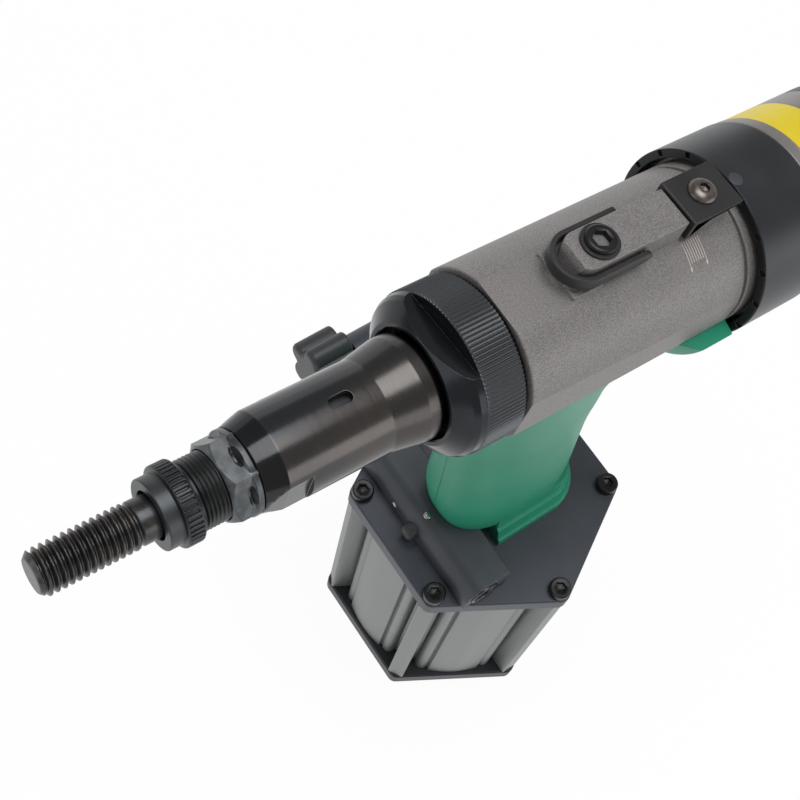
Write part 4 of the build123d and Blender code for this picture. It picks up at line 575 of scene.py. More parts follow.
class Paint(Tree):
    """A surface material: a Principled shader and the textures that vary it."""

    def __init__(self, name: str) -> None:
        """Makes the material with its shader and its output.

        Args:
            name: The material's name.
        """
        self.material = bpy.data.materials.new(name)
        super().__init__(self.material)
        self.shader = self.node("ShaderNodeBsdfPrincipled")
        self.output = self.node("ShaderNodeOutputMaterial", None, {"Surface": self.shader.outputs[0]})

    def place(self, seat: Seat, stretch: tuple[float, float, float]) -> Socket:
        """Coordinates in the base's or the head's frame.

        Args:
            seat: The frame whose coordinates are read.
            stretch: Length by which a pattern is drawn out along each of the frame's axes.

        Returns:
            The coordinates' socket.
        """
        settings = {"vector_type": "TEXTURE"}
        sockets = {"Vector": self.node("ShaderNodeTexCoord").outputs["Object"], "Scale": stretch}
        if seat is Seat.HEAD:
            sockets["Location"] = (0, 0, HEAD_HEIGHT * METRE)
            sockets["Rotation"] = (-HEAD_TILT, 0, 0)
        return self.node("ShaderNodeMapping", settings, sockets).outputs[0]

    def noise(self, vector: Socket, scale: float, detail: float = 3.0) -> Signal:
        """Noise between 0 and 1, with a scale in cells per metre and finer octaves."""
        made = self.node("ShaderNodeTexNoise", None, {"Vector": vector, "Scale": scale, "Detail": detail})
        return Signal(self, made.outputs[0])

    def between(self, seat: Seat, start: float, end: float) -> Signal:
        """1 between two places along the head's axis, or above the base, and 0 elsewhere.

        Args:
            seat: The frame whose places are read.
            start: The first place in millimetres.
            end: The last place.

        Returns:
            The zone as a signal between 0 and 1.
        """
        parts = self.node("ShaderNodeSeparateXYZ", None, {0: self.place(seat, (1, 1, 1))}).outputs
        along = Signal(self, parts[1 if seat is Seat.HEAD else 2])
        blur = ZONE_BLUR * METRE
        first, last = start * METRE, end * METRE
        return along.fade(first - blur, first + blur) * (1.0 - along.fade(last - blur, last + blur))

    def mix(self, share: Signal | float, first: object, second: object) -> Socket:
        """Mixes two colours.

        Args:
            share: How much of the second colour shows, from 0 to 1.
            first: The colour at 0.
            second: The colour at 1.

        Returns:
            The mixed colour's socket.
        """
        made = self.node("ShaderNodeMix", {"data_type": "RGBA"})
        for number, value in zip(MIX_INPUTS, (share, first, second)):
            self.feed(made.inputs[number], value)
        return made.outputs[MIX_OUTPUT]

    def set(self, **values: object) -> None:
        """Sets or links the shader's sockets, named with underscores for spaces."""
        for name, value in values.items():
            self.feed(self.shader.inputs[name.replace("_", " ")], value)

    def softened(self, radius: float) -> Socket:
        """The normal, rounded over edges by a radius in millimetres."""
        return self.node("ShaderNodeBevel", {"samples": 6}, {"Radius": radius * METRE}).outputs[0]

    def worn_and_highlighted_edges(self, radius: float) -> Signal:
        """How near an edge is: the share by which a rounded normal leaves the true one. It lightens edges
        both as wear and as a painted highlight.

        Args:
            radius: Radius in millimetres of the worn edges.

        Returns:
            The share as a signal between 0 and 1.
        """
        normal = self.node("ShaderNodeNewGeometry").outputs["Normal"]
        sockets = {0: self.softened(radius), 1: normal}
        product = self.node("ShaderNodeVectorMath", {"operation": "DOT_PRODUCT"}, sockets)
        return (1.0 - Signal(self, product.outputs["Value"])).fade(0.0, 0.25)

    def relief(self, height: Signal, depth: float, rounding: float) -> None:
        """Bumps the surface and softens its edges.

        Args:
            height: The bump's height from 0 to 1.
            depth: Depth in millimetres of a full step.
            rounding: Radius in millimetres of the softened edges.
        """
        normal = self.softened(rounding)
        sockets = {"Height": height, "Distance": depth * METRE, "Strength": 1.0, "Normal": normal}
        self.set(Normal=self.node("ShaderNodeBump", None, sockets).outputs[0])


@dataclass(frozen=True)
class Finish:
    """A finish with mottled colour, varied gloss, fine grain, turning marks and lighter edges, which stand
    partly for wear and partly for painted highlights.

    Colours are linear. Scales are in cells per metre, depths and radii in millimetres. A zone is a
    start and an end along its seat's axis, a colour, its share and what it adds to the roughness.
    """

    name: str
    slot: str
    seat: Seat
    colour: tuple[float, float, float]
    mottle: tuple[float, float, float]
    metallic: float = 0.0
    roughness: float = 0.4
    varied: float = 0.08
    mottle_scale: float = 60.0
    grain_scale: float = 2500.0
    grain_depth: float = 0.01
    stretch: tuple[float, float, float] = (1, 1, 1)
    speckle: tuple[float, float, float] | None = None
    speckle_share: float = 0.5
    turning: float = 0.0
    # edge: a lighter colour on the edges, partly wear and partly a painted highlight
    edge: tuple[float, float, float] | None = None
    edge_share: float = 0.5
    rounding: float = 0.25
    zones: tuple = ()

    def paint(self) -> bpy.types.Material:
        """Builds the material.

        Returns:
            The finished material.
        """
        paint = Paint(self.name)
        place = paint.place(self.seat, self.stretch)
        cloud = paint.noise(place, self.mottle_scale, 4.0)
        grain = paint.noise(place, self.grain_scale, 2.0)
        colour = paint.mix(cloud.fade(0.35, 0.65), self.colour, self.mottle)
        gloss = self.roughness + (grain - 0.5) * self.varied + (cloud - 0.5) * self.varied
        height = grain
        if self.speckle:
            fleck = paint.noise(place, self.grain_scale * 0.8, 1.0).fade(0.38, 0.66)
            colour = paint.mix(fleck * self.speckle_share, colour, self.speckle)
        if self.turning:
            rings = paint.place(self.seat, (60, 1, 60) if self.seat is Seat.HEAD else (60, 60, 1))
            lines = paint.noise(rings, TURNING_SCALE, 4.0)
            gloss = gloss + (lines - 0.5) * self.turning
            height = grain * 0.4 + lines * 0.6
        for start, end, tone, share, dulling in self.zones:
            zone = paint.between(self.seat, start, end)
            colour = paint.mix(zone * share, colour, tone)
            gloss = gloss + zone * dulling
        # Lighter edges: partly wear, partly a painted highlight where rounded edges catch the light.
        if self.edge:
            colour = paint.mix(paint.worn_and_highlighted_edges(self.rounding) * self.edge_share, colour, self.edge)
        paint.set(Base_Color=colour, Metallic=self.metallic, Roughness=gloss)
        paint.relief(height, self.grain_depth, self.rounding)
        return paint.material


HEAD_PAINT = Finish(
    "satin_enamel", "head_paint", Seat.HEAD, (0.180, 0.170, 0.166), (0.196, 0.185, 0.181), 0.2, 0.46,
    grain_scale=3300.0, grain_depth=0.03, speckle=(0.36, 0.343, 0.337), speckle_share=0.6,
    edge=(0.40, 0.38, 0.37), edge_share=0.4, rounding=0.4,
)
PRINT = Finish(
    "pale_print", "head_paint", Seat.HEAD, (0.75, 0.62, 0.57), (0.68, 0.58, 0.54), 0.0, 0.5
)
RING_BLACK = Finish(
    "polished_black", "black_anodised", Seat.HEAD, (0.020, 0.023, 0.027), (0.028, 0.031, 0.036), 0.7, 0.20,
    varied=0.04, turning=0.12, grain_depth=0.004, edge=(0.26, 0.26, 0.27), edge_share=0.6, rounding=0.15,
    # The second zone is painted shade: a near-black band for the gap behind the ring.
    zones=((-56.3, -42.9, (0.11, 0.118, 0.126), 0.8, 0.0), (-42.8, -41.0, (0.004, 0.004, 0.004), 1.0, 0.3)),
)
SLEEVE_BLACK = Finish(
    "sleeve_black", "black_anodised", Seat.HEAD, (0.036, 0.040, 0.045), (0.044, 0.048, 0.054), 0.5, 0.36,
    # The warm edge colour paints the warm highlights on the notches' edges.
    turning=0.06, grain_depth=0.006, edge=(0.20, 0.15, 0.12), edge_share=0.6, rounding=0.2,
    zones=((46.0, 46.6, (0.012, 0.012, 0.012), 0.9, 0.1),),
)
PLATE_BLACK = Finish(
    "plate_black", "black_anodised", Seat.BASE, (0.056, 0.062, 0.079), (0.066, 0.072, 0.090), 0.35, 0.44,
    grain_depth=0.012, edge=(0.14, 0.14, 0.15), edge_share=0.3,
    # The zone darkens the bottom plate: partly a blacker plate, partly painted shade at the tool's foot.
    zones=((-1.0, 8.5, (0.016, 0.017, 0.020), 0.8, 0.0),),
)
BLOCK_BLACK = Finish(
    "block_black", "black_anodised", Seat.BASE, (0.058, 0.064, 0.076), (0.070, 0.076, 0.090), 0.3, 0.50,
    grain_scale=1800.0, grain_depth=0.02, edge=(0.14, 0.14, 0.15), edge_share=0.3, rounding=0.4,
)
NOSE_STEEL = Finish(
    "burnished_nose", "burnished_steel", Seat.HEAD, (0.060, 0.064, 0.070), (0.104, 0.094, 0.088), 0.95, 0.19,
    varied=0.08, mottle_scale=45.0, stretch=(1, 3, 1), turning=0.18, grain_depth=0.004,
    edge=(0.4, 0.36, 0.33), edge_share=0.5, rounding=0.3,
    zones=(
        (-120.0, -112.7, (0.030, 0.032, 0.034), 0.8, -0.05), (-79.2, -64.0, (0.070, 0.066, 0.064), 0.6, 0.04)
    ),
)
NUT_STEEL = Finish(
    "nut_steel", "burnished_steel", Seat.HEAD, (0.075, 0.085, 0.092), (0.13, 0.135, 0.14), 0.85, 0.34,
    varied=0.12, mottle_scale=300.0, grain_depth=0.02, edge=(0.45, 0.43, 0.41), edge_share=0.7, rounding=0.25,
)
ANVIL_BLACK = Finish(
    "anvil_black", "black_oxide", Seat.HEAD, (0.032, 0.035, 0.038), (0.052, 0.054, 0.057), 0.8, 0.34,
    varied=0.10, mottle_scale=200.0, turning=0.08, edge=(0.24, 0.23, 0.22), edge_share=0.55, rounding=0.2,
    zones=((-145.3, -141.2, (0.080, 0.086, 0.091), 0.7, 0.04),),
)
THREAD_STEEL = Finish(
    "thread_steel", "thread_steel", Seat.HEAD, (0.052, 0.054, 0.058), (0.10, 0.092, 0.088), 0.85, 0.30,
    varied=0.10, mottle_scale=250.0, edge=(0.34, 0.29, 0.26), edge_share=0.7, rounding=0.25,
    zones=((-178.0, -177.6, (0.20, 0.19, 0.185), 0.8, 0.1),),
)
PLATE_OXIDE = Finish(
    "lock_plate_black", "black_oxide", Seat.HEAD, (0.032, 0.032, 0.034), (0.040, 0.040, 0.042), 0.4, 0.42,
    # The light edge colour paints highlights along the bail's and the plate's edges, with some wear.
    grain_depth=0.012, edge=(0.25, 0.22, 0.21), edge_share=0.7, rounding=0.2,
)
SCREW_BROWN = Finish(
    "screw_brown", "black_oxide", Seat.HEAD, (0.12, 0.105, 0.10), (0.19, 0.165, 0.15), 0.85, 0.32,
    mottle_scale=500.0, grain_depth=0.02, edge=(0.36, 0.32, 0.30), rounding=0.15,
)
SCREW_BLACK = Finish(
    "screw_black", "black_oxide", Seat.BASE, (0.018, 0.018, 0.020), (0.028, 0.028, 0.03), 0.6, 0.30,
    edge=(0.14, 0.14, 0.14), rounding=0.15,
)
BRIGHT_STEEL = Finish(
    "bright_steel", "bright_steel", Seat.BASE, (0.42, 0.41, 0.40), (0.5, 0.49, 0.48), 1.0, 0.24,
    turning=0.08, edge=(0.6, 0.6, 0.6),
)
BUSH_STEEL = Finish(
    "bush_steel", "bright_steel", Seat.BASE, (0.06, 0.062, 0.066), (0.10, 0.10, 0.105), 0.9, 0.26,
    # The bright edge colour paints the glints on the inlet's thread.
    edge=(0.5, 0.5, 0.5), edge_share=0.8, rounding=0.2,
)
EXTRUSION = Finish(
    "drawn_aluminium", "extrusion", Seat.BASE, (0.215, 0.228, 0.228), (0.24, 0.253, 0.253), 0.55, 0.42,
    mottle_scale=120.0, stretch=(1, 1, 30), grain_scale=3000.0, grain_depth=0.02,
    edge=(0.3, 0.3, 0.3), edge_share=0.3,
)
COLLAR_GREY = Finish(
    "collar_grey", "collar_grey", Seat.HEAD, (0.25, 0.235, 0.225), (0.28, 0.265, 0.255), 0.4, 0.38,
    turning=0.08, edge=(0.42, 0.4, 0.38),
)
GREEN_PLASTIC = Finish(
    "green_plastic", "green_plastic", Seat.BASE, (0.012, 0.29, 0.165), (0.014, 0.305, 0.175), 0.0, 0.46,
    varied=0.05, grain_scale=1600.0, grain_depth=0.012, rounding=0.5,
)
BLACK_PLASTIC = Finish(
    "black_plastic", "black_plastic", Seat.BASE, (0.034, 0.037, 0.040), (0.042, 0.045, 0.048), 0.0, 0.44,
    edge=(0.09, 0.09, 0.095), rounding=0.4,
)
BLACK_RUBBER = Finish(
    "black_rubber", "black_rubber", Seat.BASE, (0.010, 0.010, 0.011), (0.016, 0.016, 0.017), 0.0, 0.5
)
LABEL_YELLOW = Finish(
    "label_yellow", "label_yellow", Seat.HEAD, (0.84, 0.65, 0.015), (0.87, 0.68, 0.02), 0.0, 0.38,
    turning=0.03,
)
BEARING_BRONZE = Finish(
    "bearing_bronze", "bearing_bronze", Seat.HEAD, (0.42, 0.25, 0.10), (0.46, 0.28, 0.12), 1.0, 0.35
)


class Workshop:
    """The frame's nodes and the painted finishes, and the way that a piece is fitted to them."""

    def __init__(self, frame: dict) -> None:
        self.nodes = frame["nodes"]
        self.materials: dict[str, bpy.types.Material] = {}

    def cover(self, piece: Piece, finish: Finish) -> None:
        """Gives a piece its finish. A finish is painted when it is first asked for.

        Args:
            piece: The piece.
            finish: Its finish.
        """
        if finish.name not in self.materials:
            self.materials[finish.name] = finish.paint()
        piece.data.materials.clear()
        piece.data.materials.append(self.materials[finish.name])

    def fit(self, piece: Piece, body: str, finish: Finish, *nodes: str) -> None:
        """Smooths and paints a piece, seats it on its body and hides what it stands for.

        Args:
            piece: The new piece.
            body: The CAD body that it moves with.
            finish: Its finish.
            nodes: The CAD nodes that it replaces.
        """
        mesh = piece.data
        mesh.shade_smooth()
        mesh.set_sharp_from_angle(angle=SHARP_ANGLE)
        piece.modifiers.new("normals", "WEIGHTED_NORMAL").keep_sharp = True
        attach(piece, body)
        if nodes:
            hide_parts(*nodes)
        self.cover(piece, finish)
        LOG.info("%s: %d faces on %s", piece.name, len(mesh.polygons), body)

    def dress(self, name: str, finish: Finish) -> None:
        """Merges a CAD node's loose triangles, smooths it between its edges and paints it.

        Args:
            name: The CAD node's name.
            finish: Its finish.
        """
        solid = self.nodes[name]
        solid.data.polygons.foreach_set("use_smooth", np.ones(len(solid.data.polygons), dtype=bool))
        solid.modifiers.new("merge", "WELD").merge_threshold = WELD_DISTANCE
        solid.modifiers.new("edges", "EDGE_SPLIT").split_angle = SPLIT_ANGLE
        self.cover(solid, finish)
        LOG.info("%s: CAD solid in %s", name, finish.name)


class Assembly:
    """A sub-assembly, whose pieces are built in their order and fitted."""

    def pieces(self) -> list[tuple]:
        """A row for each piece: the piece, its body, its finish and the CAD nodes that it replaces."""
        raise NotImplementedError

    def make(self, shop: Workshop) -> None:
        """Builds the pieces and fits them.

        Args:
            shop: The workshop that paints and seats them.
        """
        for piece, body, finish, *nodes in self.pieces():
            shop.fit(piece, body, finish, *nodes)


@dataclass
class NoseTrain(Assembly):
    """The threaded stud, the nosepiece, its lock nut and the burnished nose housing."""

    stud_tip: float = -177.8
    stud_radius: float = 6.35
    stud_pitch: float = 1.954
    stud_depth: float = 1.15
    stud_thread_back: float = -151.4
    stud_shank: float = 6.1
    stud_root: float = 5.4
    anvil_front: float = -145.2
    anvil_collar: float = 10.0
    anvil_band: float = 11.5
    anvil_band_front: float = -141.0
    anvil_band_back: float = -135.8
    anvil_slots: int = 44
    anvil_slot_depth: float = 0.65
    anvil_hidden: float = -126.6
    anvil_back: float = -107.5
    anvil_thread: float = 9.9
    anvil_thread_depth: float = 0.62
    anvil_neck: float = 9.3
    anvil_pitch: float = 1.2
    anvil_bore: float = 6.9
    nut_front: float = -127.6
    nut_back: float = -119.2
    nut_apothem: float = 10.9
    nut_flange: float = 12.4
    nut_scoop: float = 1.2
    nose_front: float = -119.0
    nose_radius: float = 14.2
    nose_flare: float = 16.1
    nose_flat: float = 12.7
    nose_flat_back: float = -105.4
    window: tuple[float, float, float] = (-90.5, 7.2, 3.7)

    def thread(self, y: np.ndarray, angle: np.ndarray, pitch: float) -> np.ndarray:
        """Depth share of a right-hand thread: a wave of y over the pitch plus the turn, with flats."""
        return np.clip((wave(y / pitch + angle / FULL_TURN) - 0.14) / 0.72, 0, 1)

    def stud(self) -> Piece:
        """The threaded stud with a chamfered, centre-drilled end.

        Returns:
            The stud.
        """
        tip, back = self.stud_tip, self.stud_thread_back
        crest, root, shank = self.stud_radius, self.stud_root, self.stud_shank
        corners = [(tip, 0.05), (tip, 4.7), (tip + 1.7, crest), (back, crest), (back + 0.7, root),
                   (back + 1.1, root), (back + 1.6, shank), (-100.0, shank), (-100.0, 9.3), (-88.0, 9.3),
                   (-88.0, 0.2)]
        profile = rounded(corners, [0.1, 0.3, 0.15, 0.15, 0.15, 0.15, 0.3, 0.1, 0.2, 0.2, 0.1], 3, False)
        threaded = profile[:, 0] < back + 1
        profile = np.vstack((dense(profile[threaded], 0.13, False), profile[~threaded]))

        def cut(y: np.ndarray, r: np.ndarray, angle: np.ndarray) -> tuple[np.ndarray, np.ndarray]:
            """Thread below the crest, fading out at the back.

            Args:
                y: Places along the axis.
                r: Radii.
                angle: Angles about the axis.

            Returns:
                The places and the cut radii.
            """
            fade = 1 - step_up(y, back - 1.0, back + 0.4)
            groove = crest - self.stud_depth * self.thread(y, angle, self.stud_pitch) * fade
            return y, np.where(r > 4.6, np.minimum(r, groove), r)

        return Shell().lathe(profile, 128, cut, False).build("threaded_stud", Seat.HEAD)

    def nosepiece(self) -> Piece:
        """The nosepiece: collar, slotted band, groove and thread.

        Returns:
            The nosepiece.
        """
        front, back, bore = self.anvil_front, self.anvil_back, self.anvil_bore
        collar, band, crest, neck = self.anvil_collar, self.anvil_band, self.anvil_thread, self.anvil_neck
        b0, b1 = self.anvil_band_front, self.anvil_band_back
        corners = [(front, bore), (front, collar), (b0, collar), (b0 + 0.3, band), (b1, band),
                   (b1 + 0.2, neck), (b1 + 1.3, neck), (b1 + 1.8, crest), (back, crest), (back, bore)]
        profile = dense(rounded(corners, [0.35, 0.4, 0.25, 0.5, 0.7, 0.3, 0.2, 0.2, 0.3, 0.3]), 0.2)
        seen = (profile[:, 0] < self.anvil_hidden) & (profile[:, 1] > bore + 0.1)
        profile = profile[seen | (np.arange(len(profile)) % 10 == 0)]

        def cut(y: np.ndarray, r: np.ndarray, angle: np.ndarray) -> tuple[np.ndarray, np.ndarray]:
            """Slots with rounded ends in the band, and a fine thread behind it.

            Args:
                y: Places along the axis.
                r: Radii.
                angle: Angles about the axis.

            Returns:
                The places and the cut radii.
            """
            across = np.abs(off_middle(angle, self.anvil_slots)) * band
            end = np.maximum(np.abs(y - (b0 + b1) / 2) - ((b1 - b0) / 2 - 0.95), 0)
            slot = 1 - step_up(np.hypot(across, end), 0.24, 0.46)
            r = r - self.anvil_slot_depth * slot * (r > band - 0.6)
            depth = self.anvil_thread_depth * self.thread(y, angle, self.anvil_pitch)
            groove = crest - depth * step_up(y, b1 + 1.4, b1 + 2.4)
            return y, np.where((r > bore + 1) & (y > b1 + 1.0), np.minimum(r, groove), r)

        return Shell().lathe(profile, self.anvil_slots * 12, cut).build("slotted_nosepiece", Seat.HEAD)

    def lock_nut(self) -> Piece:
        """The flanged lock nut, with a scoop in each flat.

        Returns:
            The nut.
        """
        front, back = self.nut_front, self.nut_back
        apothem, rim = self.nut_apothem, self.nut_flange
        corner = apothem / math.cos(math.radians(30)) + 0.2
        bore = self.anvil_thread + 0.1
        corners = [(front, bore), (front, apothem - 0.5), (front + 1.7, corner), (back, corner), (back, bore)]

        def cut(y: np.ndarray, r: np.ndarray, angle: np.ndarray) -> tuple[np.ndarray, np.ndarray]:
            """Six flats, a round flange behind them and an oval scoop where they meet.

            Args:
                y: Places along the axis.
                r: Radii.
                angle: Angles about the axis.

            Returns:
                The places and the cut radii.
            """
            flange = rim - 1.9 * (1 - step_up(y, back - 3.3, back - 1.7))
            edge = rim - step_up(y, back - 0.35, back) * 0.35
            flange = np.where(y > back - 3.2, np.minimum(flange, edge), 0)
            hexagon = soft_min(r, polygon(angle, 6, apothem), 0.12)
            across = apothem * np.tan(off_middle(angle, 6))
            oval = np.clip(1 - (across / 3.1) ** 2 - (y - back + 2.75) ** 2, 0, 1)
            outer = np.maximum(hexagon, flange) - self.nut_scoop * np.sqrt(oval)
            return y, np.where(r > bore + 0.5, outer, r)

        return turned("hex_lock_nut", corners, [0.3, 0.2, 0.2, 0.15, 0.1], 4, 0.16, 360, cut)

    def housing(self) -> Piece:
        """The burnished nose housing, with spanner flats and two windows.

        Returns:
            The housing.
        """
        front, radius, flare = self.nose_front, self.nose_radius, self.nose_flare
        corners = [(front, 9.95), (front, 12.4), (-112.6, radius), (-79.2, radius), (-68.6, flare),
                   (-64.4, flare), (-64.4, 14.6), (-56.2, 14.6), (-56.2, 19.4), (-52.4, 19.4), (-52.4, 14.3),
                   (-50.0, 14.3), (-50.0, 12.3), (-105.3, 12.3), (-105.3, 9.95)]
        radii = [0.2, 0.25, 0.6, 2.0, 1.2, 0.9, 0.3, 0.3, 0.3, 0.3, 0.2, 0.3, 0.2, 0.2, 0.2]
        piece = turned("burnished_nose", corners, radii, 6, 3.0, HEAD_COLUMNS)
        centre, length, width = self.window
        low, high = (-width / 2, centre - length / 2), (width / 2, centre + length / 2)
        outline = rounded(rectangle(low, high), width / 2 - 0.01, 10)
        tool = Shell()
        for side in (-1, 1):
            near, far = sorted((side * 5, side * 20))
            tool.prism(outline, [(near, 0), (far, 0)], Along.Z)
            near, far = sorted((side * self.nose_flat, side * 20))
            tool.block((near, front - 1, -20), (far, self.nose_flat_back, 20))
        combine(piece, tool.build("tool", Seat.HEAD))
        return piece

    def pieces(self) -> list[tuple]:
        """The front pieces.

        Returns:
            One row for each piece.
        """
        return [
            (self.stud(), "spindle", THREAD_STEEL, "mandrel"),
            (self.nosepiece(), "anvil", ANVIL_BLACK, "anvil"),
            (self.lock_nut(), "lock_nut", NUT_STEEL, "lock_nut"),
            (self.housing(), "root", NOSE_STEEL, "nose_housing"),
        ]


@dataclass
class RingNut(Assembly):
    """The ring nut: a polished front with two spanner flats and a straight-knurled band."""

    front: float = -63.8
    band_front: float = -56.4
    band_back: float = -43.0
    back: float = -41.7
    radius: float = 25.2
    bore: float = 22.6
    mouth: float = 17.0
    teeth: int = 120
    tooth_depth: float = 0.5
    flat: float = 18.9
    flat_turn: float = math.radians(-5)

    def ring(self) -> Piece:
        """The whole ring as one closed turned surface, then its two flats.

        Returns:
            The ring nut.
        """
        front, start, end, back = self.front, self.band_front, self.band_back, self.back
        radius, bore, mouth = self.radius, self.bore, self.mouth
        corners = [(front + 0.4, mouth), (front, 17.4), (front, 18.6), (-60.0, 23.5), (-58.4, 24.5),
                   (start, 24.8), (start + 0.3, radius), (end, radius), (back, 24.0), (back, bore),
                   (start, bore), (start, mouth)]
        radii = [0.1, 0.1, 0.25, 1.5, 1.2, 0.1, 0.1, 0.3, 0.2, 0.2, 0.2, 0.2]

        def cut(y: np.ndarray, r: np.ndarray, angle: np.ndarray) -> tuple[np.ndarray, np.ndarray]:
            """Straight teeth on the band, a clipped triangle wave of the angle.

            Args:
                y: Places along the axis.
                r: Radii.
                angle: Angles about the axis.

            Returns:
                The places and the cut radii.
            """
            tooth = np.clip(wave(angle / (FULL_TURN / self.teeth)) * 1.25 - 0.1, 0, 1)
            inside = step_up(y, start, start + 0.3) * (1 - step_up(y, end, end + 0.6))
            return y, r - self.tooth_depth * tooth * inside * (r > 24)

        piece = turned("knurled_ring", corners, radii, 6, 2.0, self.teeth * 8, cut)
        tool = Shell()
        for turn in (self.flat_turn, self.flat_turn + math.pi):
            tool.block((-30, front - 2, self.flat), (30, start - 0.03, 30), turn)
        combine(piece, tool.build("tool", Seat.HEAD))
        return piece

    def pieces(self) -> list[tuple]:
        """The ring nut alone."""
        return [(self.ring(), "ring_nut", RING_BLACK, "ring_nut")]


@dataclass
class Head(Assembly):
    """The cast head with its boss and rib, and what is screwed to or hung on it."""

    front: float = -41.5
    rear: float = 42.5
    spigot: float = -52.2
    top_flat: float = 24.6
    top_flat_back: float = -21.1
    side_flat: float = 24.5
    side_draft: float = math.radians(0.9)
    rib_half: float = 6.6
    rib_top: float = 34.3
    rib_front: float = -20.2
    rib_rear: float = 21.0
    pad: tuple[float, float, float, float] = (24.6, 41.0, 6.2, 33.4)
    plug_y: float = -8.6
    plug_socket: float = 5.0
    pivot_y: float = 3.8
    pivot_z: float = 30.2
    pin: float = 1.2
    bail_inner: float = 7.2
    bail_thick: float = 1.9
    bail_height: float = 4.4
    bail_bend: float = -14.5
    plate: tuple[float, float, float, float] = (21.6, 41.4, 7.9, 1.5)
    flange_bottom: float = 27.3
    screw_y: float = 31.3
    screw_radius: float = 4.6
    screw_rise: float = 2.5
    screw_socket: float = 3.0
    mark_count: int = 8
    mark_front: float = 21.8
    mark_pitch: float = 0.92

    def casting(self) -> Piece:
        """The barrel with its flats, boss, rib and pad.

        Returns:
            The head casting.
        """
        r0, nose = HEAD_RADIUS, self.spigot
        corners = [(nose, 14.35), (nose, 21.9), (nose + 0.8, 22.5), (self.front, 22.5), (self.front, r0),
                   (self.rear, r0), (self.rear, 24.8), (44.0, 24.8), (44.0, r0), (50.0, r0), (50.0, 24.8),
                   (51.5, 24.8), (51.5, 27.1), (64.0, 27.1), (64.0, 22.5), (22.0, 22.5), (22.0, 21.0),
                   (-28.0, 21.0), (-28.0, 14.35)]
        radii = [0.2, 0.2, 0.2, 0.2, 0.5, 0.6, 0.2, 0.2, 0.4, 0.4, 0.2, 0.2] + [0.2] * 7
        piece = turned("cast_head", corners, radii, 4, 6.0, HEAD_COLUMNS)
        start, end = self.front - 1, self.rear + 0.5
        tool = Shell().block((-30, start, self.top_flat), (30, self.top_flat_back, 30))
        draft = math.tan(self.side_draft)
        for side in (-1, 1):
            near = [side * (self.side_flat + (y - self.front) * draft) for y in (start, end)]
            outline = np.array([(near[0], start), (side * 40, start), (side * 40, end), (near[1], end)])
            tool.prism(outline, [(-30, 0), (30, 0)], Along.Z)
        combine(piece, tool.build("tool", Seat.HEAD))
        combine(piece, self.rib(), "UNION")
        combine(piece, self.platform(), "UNION")
        return piece

    def rib(self) -> Piece:
        """The boss and rib: a long block with a round, sloping front.

        Returns:
            The rib.
        """
        half = self.rib_half
        nose = self.rib_front + half
        turn = np.linspace(math.pi, FULL_TURN, 25)
        arc = np.stack((half * np.cos(turn), nose + half * np.sin(turn)), axis=1)
        sides = [(half, nose), (half, self.rib_rear), (-half, self.rib_rear), (-half, nose)]
        outline = np.vstack((arc[:-1], rounded(sides, 0.4, 4, False)))
        levels = soft_ends(15.0, self.rib_top, 0.1, 0.45)
        piece = Shell().prism(outline, levels, Along.Z).build("rib", Seat.HEAD)
        slope = np.array([(-19.9, 26.0), (-17.4, 36.0), (-26.0, 36.0), (-26.0, 26.0)])
        combine(piece, Shell().prism(slope, [(-12, 0), (12, 0)], Along.X).build("tool", Seat.HEAD))
        return piece

    def platform(self) -> Piece:
        """The raised spot ahead of the boss and the pad under the lock plate.

        Returns:
            Both as one tool mesh.
        """
        start, end, half, top = self.pad
        spot = rounded(rectangle((-8.6, self.top_flat_back), (8.6, -10.0)), 0.4, 4)
        pad = rounded(rectangle((-half, start), (half, end)), 0.5, 4)
        shell = Shell().prism(spot, soft_ends(16.0, 26.3, 0.1, 0.3), Along.Z)
        return shell.prism(pad, soft_ends(16.0, top, 0.1, 0.3), Along.Z).build("platform", Seat.HEAD)

    def marks(self) -> Piece:
        """Eight printed lines on the barrel, the outer two with an arrow head.

        Each line is a thin closed strip that follows the barrel from one angle to another. An arrow
        head is a strip whose width falls to nothing.

        Returns:
            The marks.
        """
        shell = Shell()
        start, end = math.radians(16.8), math.radians(31.5)
        for index in range(self.mark_count):
            middle = self.mark_front + self.mark_pitch * index
            outer = index in (0, self.mark_count - 1)
            self.strip(shell, middle, (start, end + (0.05 if outer else 0.0)), (0.13, 0.13))
            if outer:
                self.strip(shell, middle, (end + 0.045, end + 0.095), (0.5, 0.04))
        return shell.build("scale_marks", Seat.HEAD)

    def strip(self, shell: Shell, y: float, ends: tuple[float, float], widths: tuple[float, float]) -> None:
        """Adds one printed strip, a little inside and outside the barrel: x is r sin a and z is r cos a.

        Args:
            shell: The marks.
            y: Its place along the axis.
            ends: Its first and last angle in radians.
            widths: Its half width at the two ends.
        """
        angle = np.linspace(*ends, 10)[:, None]
        half = np.linspace(*widths, 10)[:, None]
        side = np.array([-1, 1, 1, -1])[None, :]
        radius = HEAD_RADIUS + np.array([-0.05, -0.05, 0.015, 0.015])[None, :]
        shell.grid(np.stack((radius * np.sin(angle), y + half * side, radius * np.cos(angle)), axis=-1))

    def plug(self) -> Piece:
        """The filler plug's head with its hexagon socket.

        Returns:
            The plug.
        """
        outline = [(-6.0, 0.5, 0), (-6.0, 4.0, 0), (0.9, 4.0, 0), (0.9, 4.5, 0), (1.1, 4.9, 0), (1.6, 4.9, 0),
                   (2.0, 4.6, 0), (2.2, 4.2, 0), (2.2, 3.2, 0), (1.95, 1, 1), (-1.6, 1, 1), (-2.2, 0.3, 1)]
        shell = Shell().turned_head((0, self.plug_y, self.rib_top), outline, self.plug_socket)
        return shell.build("filler_plug", Seat.HEAD)

    def seal(self) -> Piece:
        """The flat seal under the plug's head.

        Returns:
            The seal.
        """
        section = np.insert(rounded(rectangle((0.0, 4.05), (0.9, 6.0)), 0.25, 4), 2, 0, axis=1)
        shell = Shell().turned_head((0, self.plug_y, self.rib_top), section, loop=True)
        return shell.build("filler_seal", Seat.HEAD)

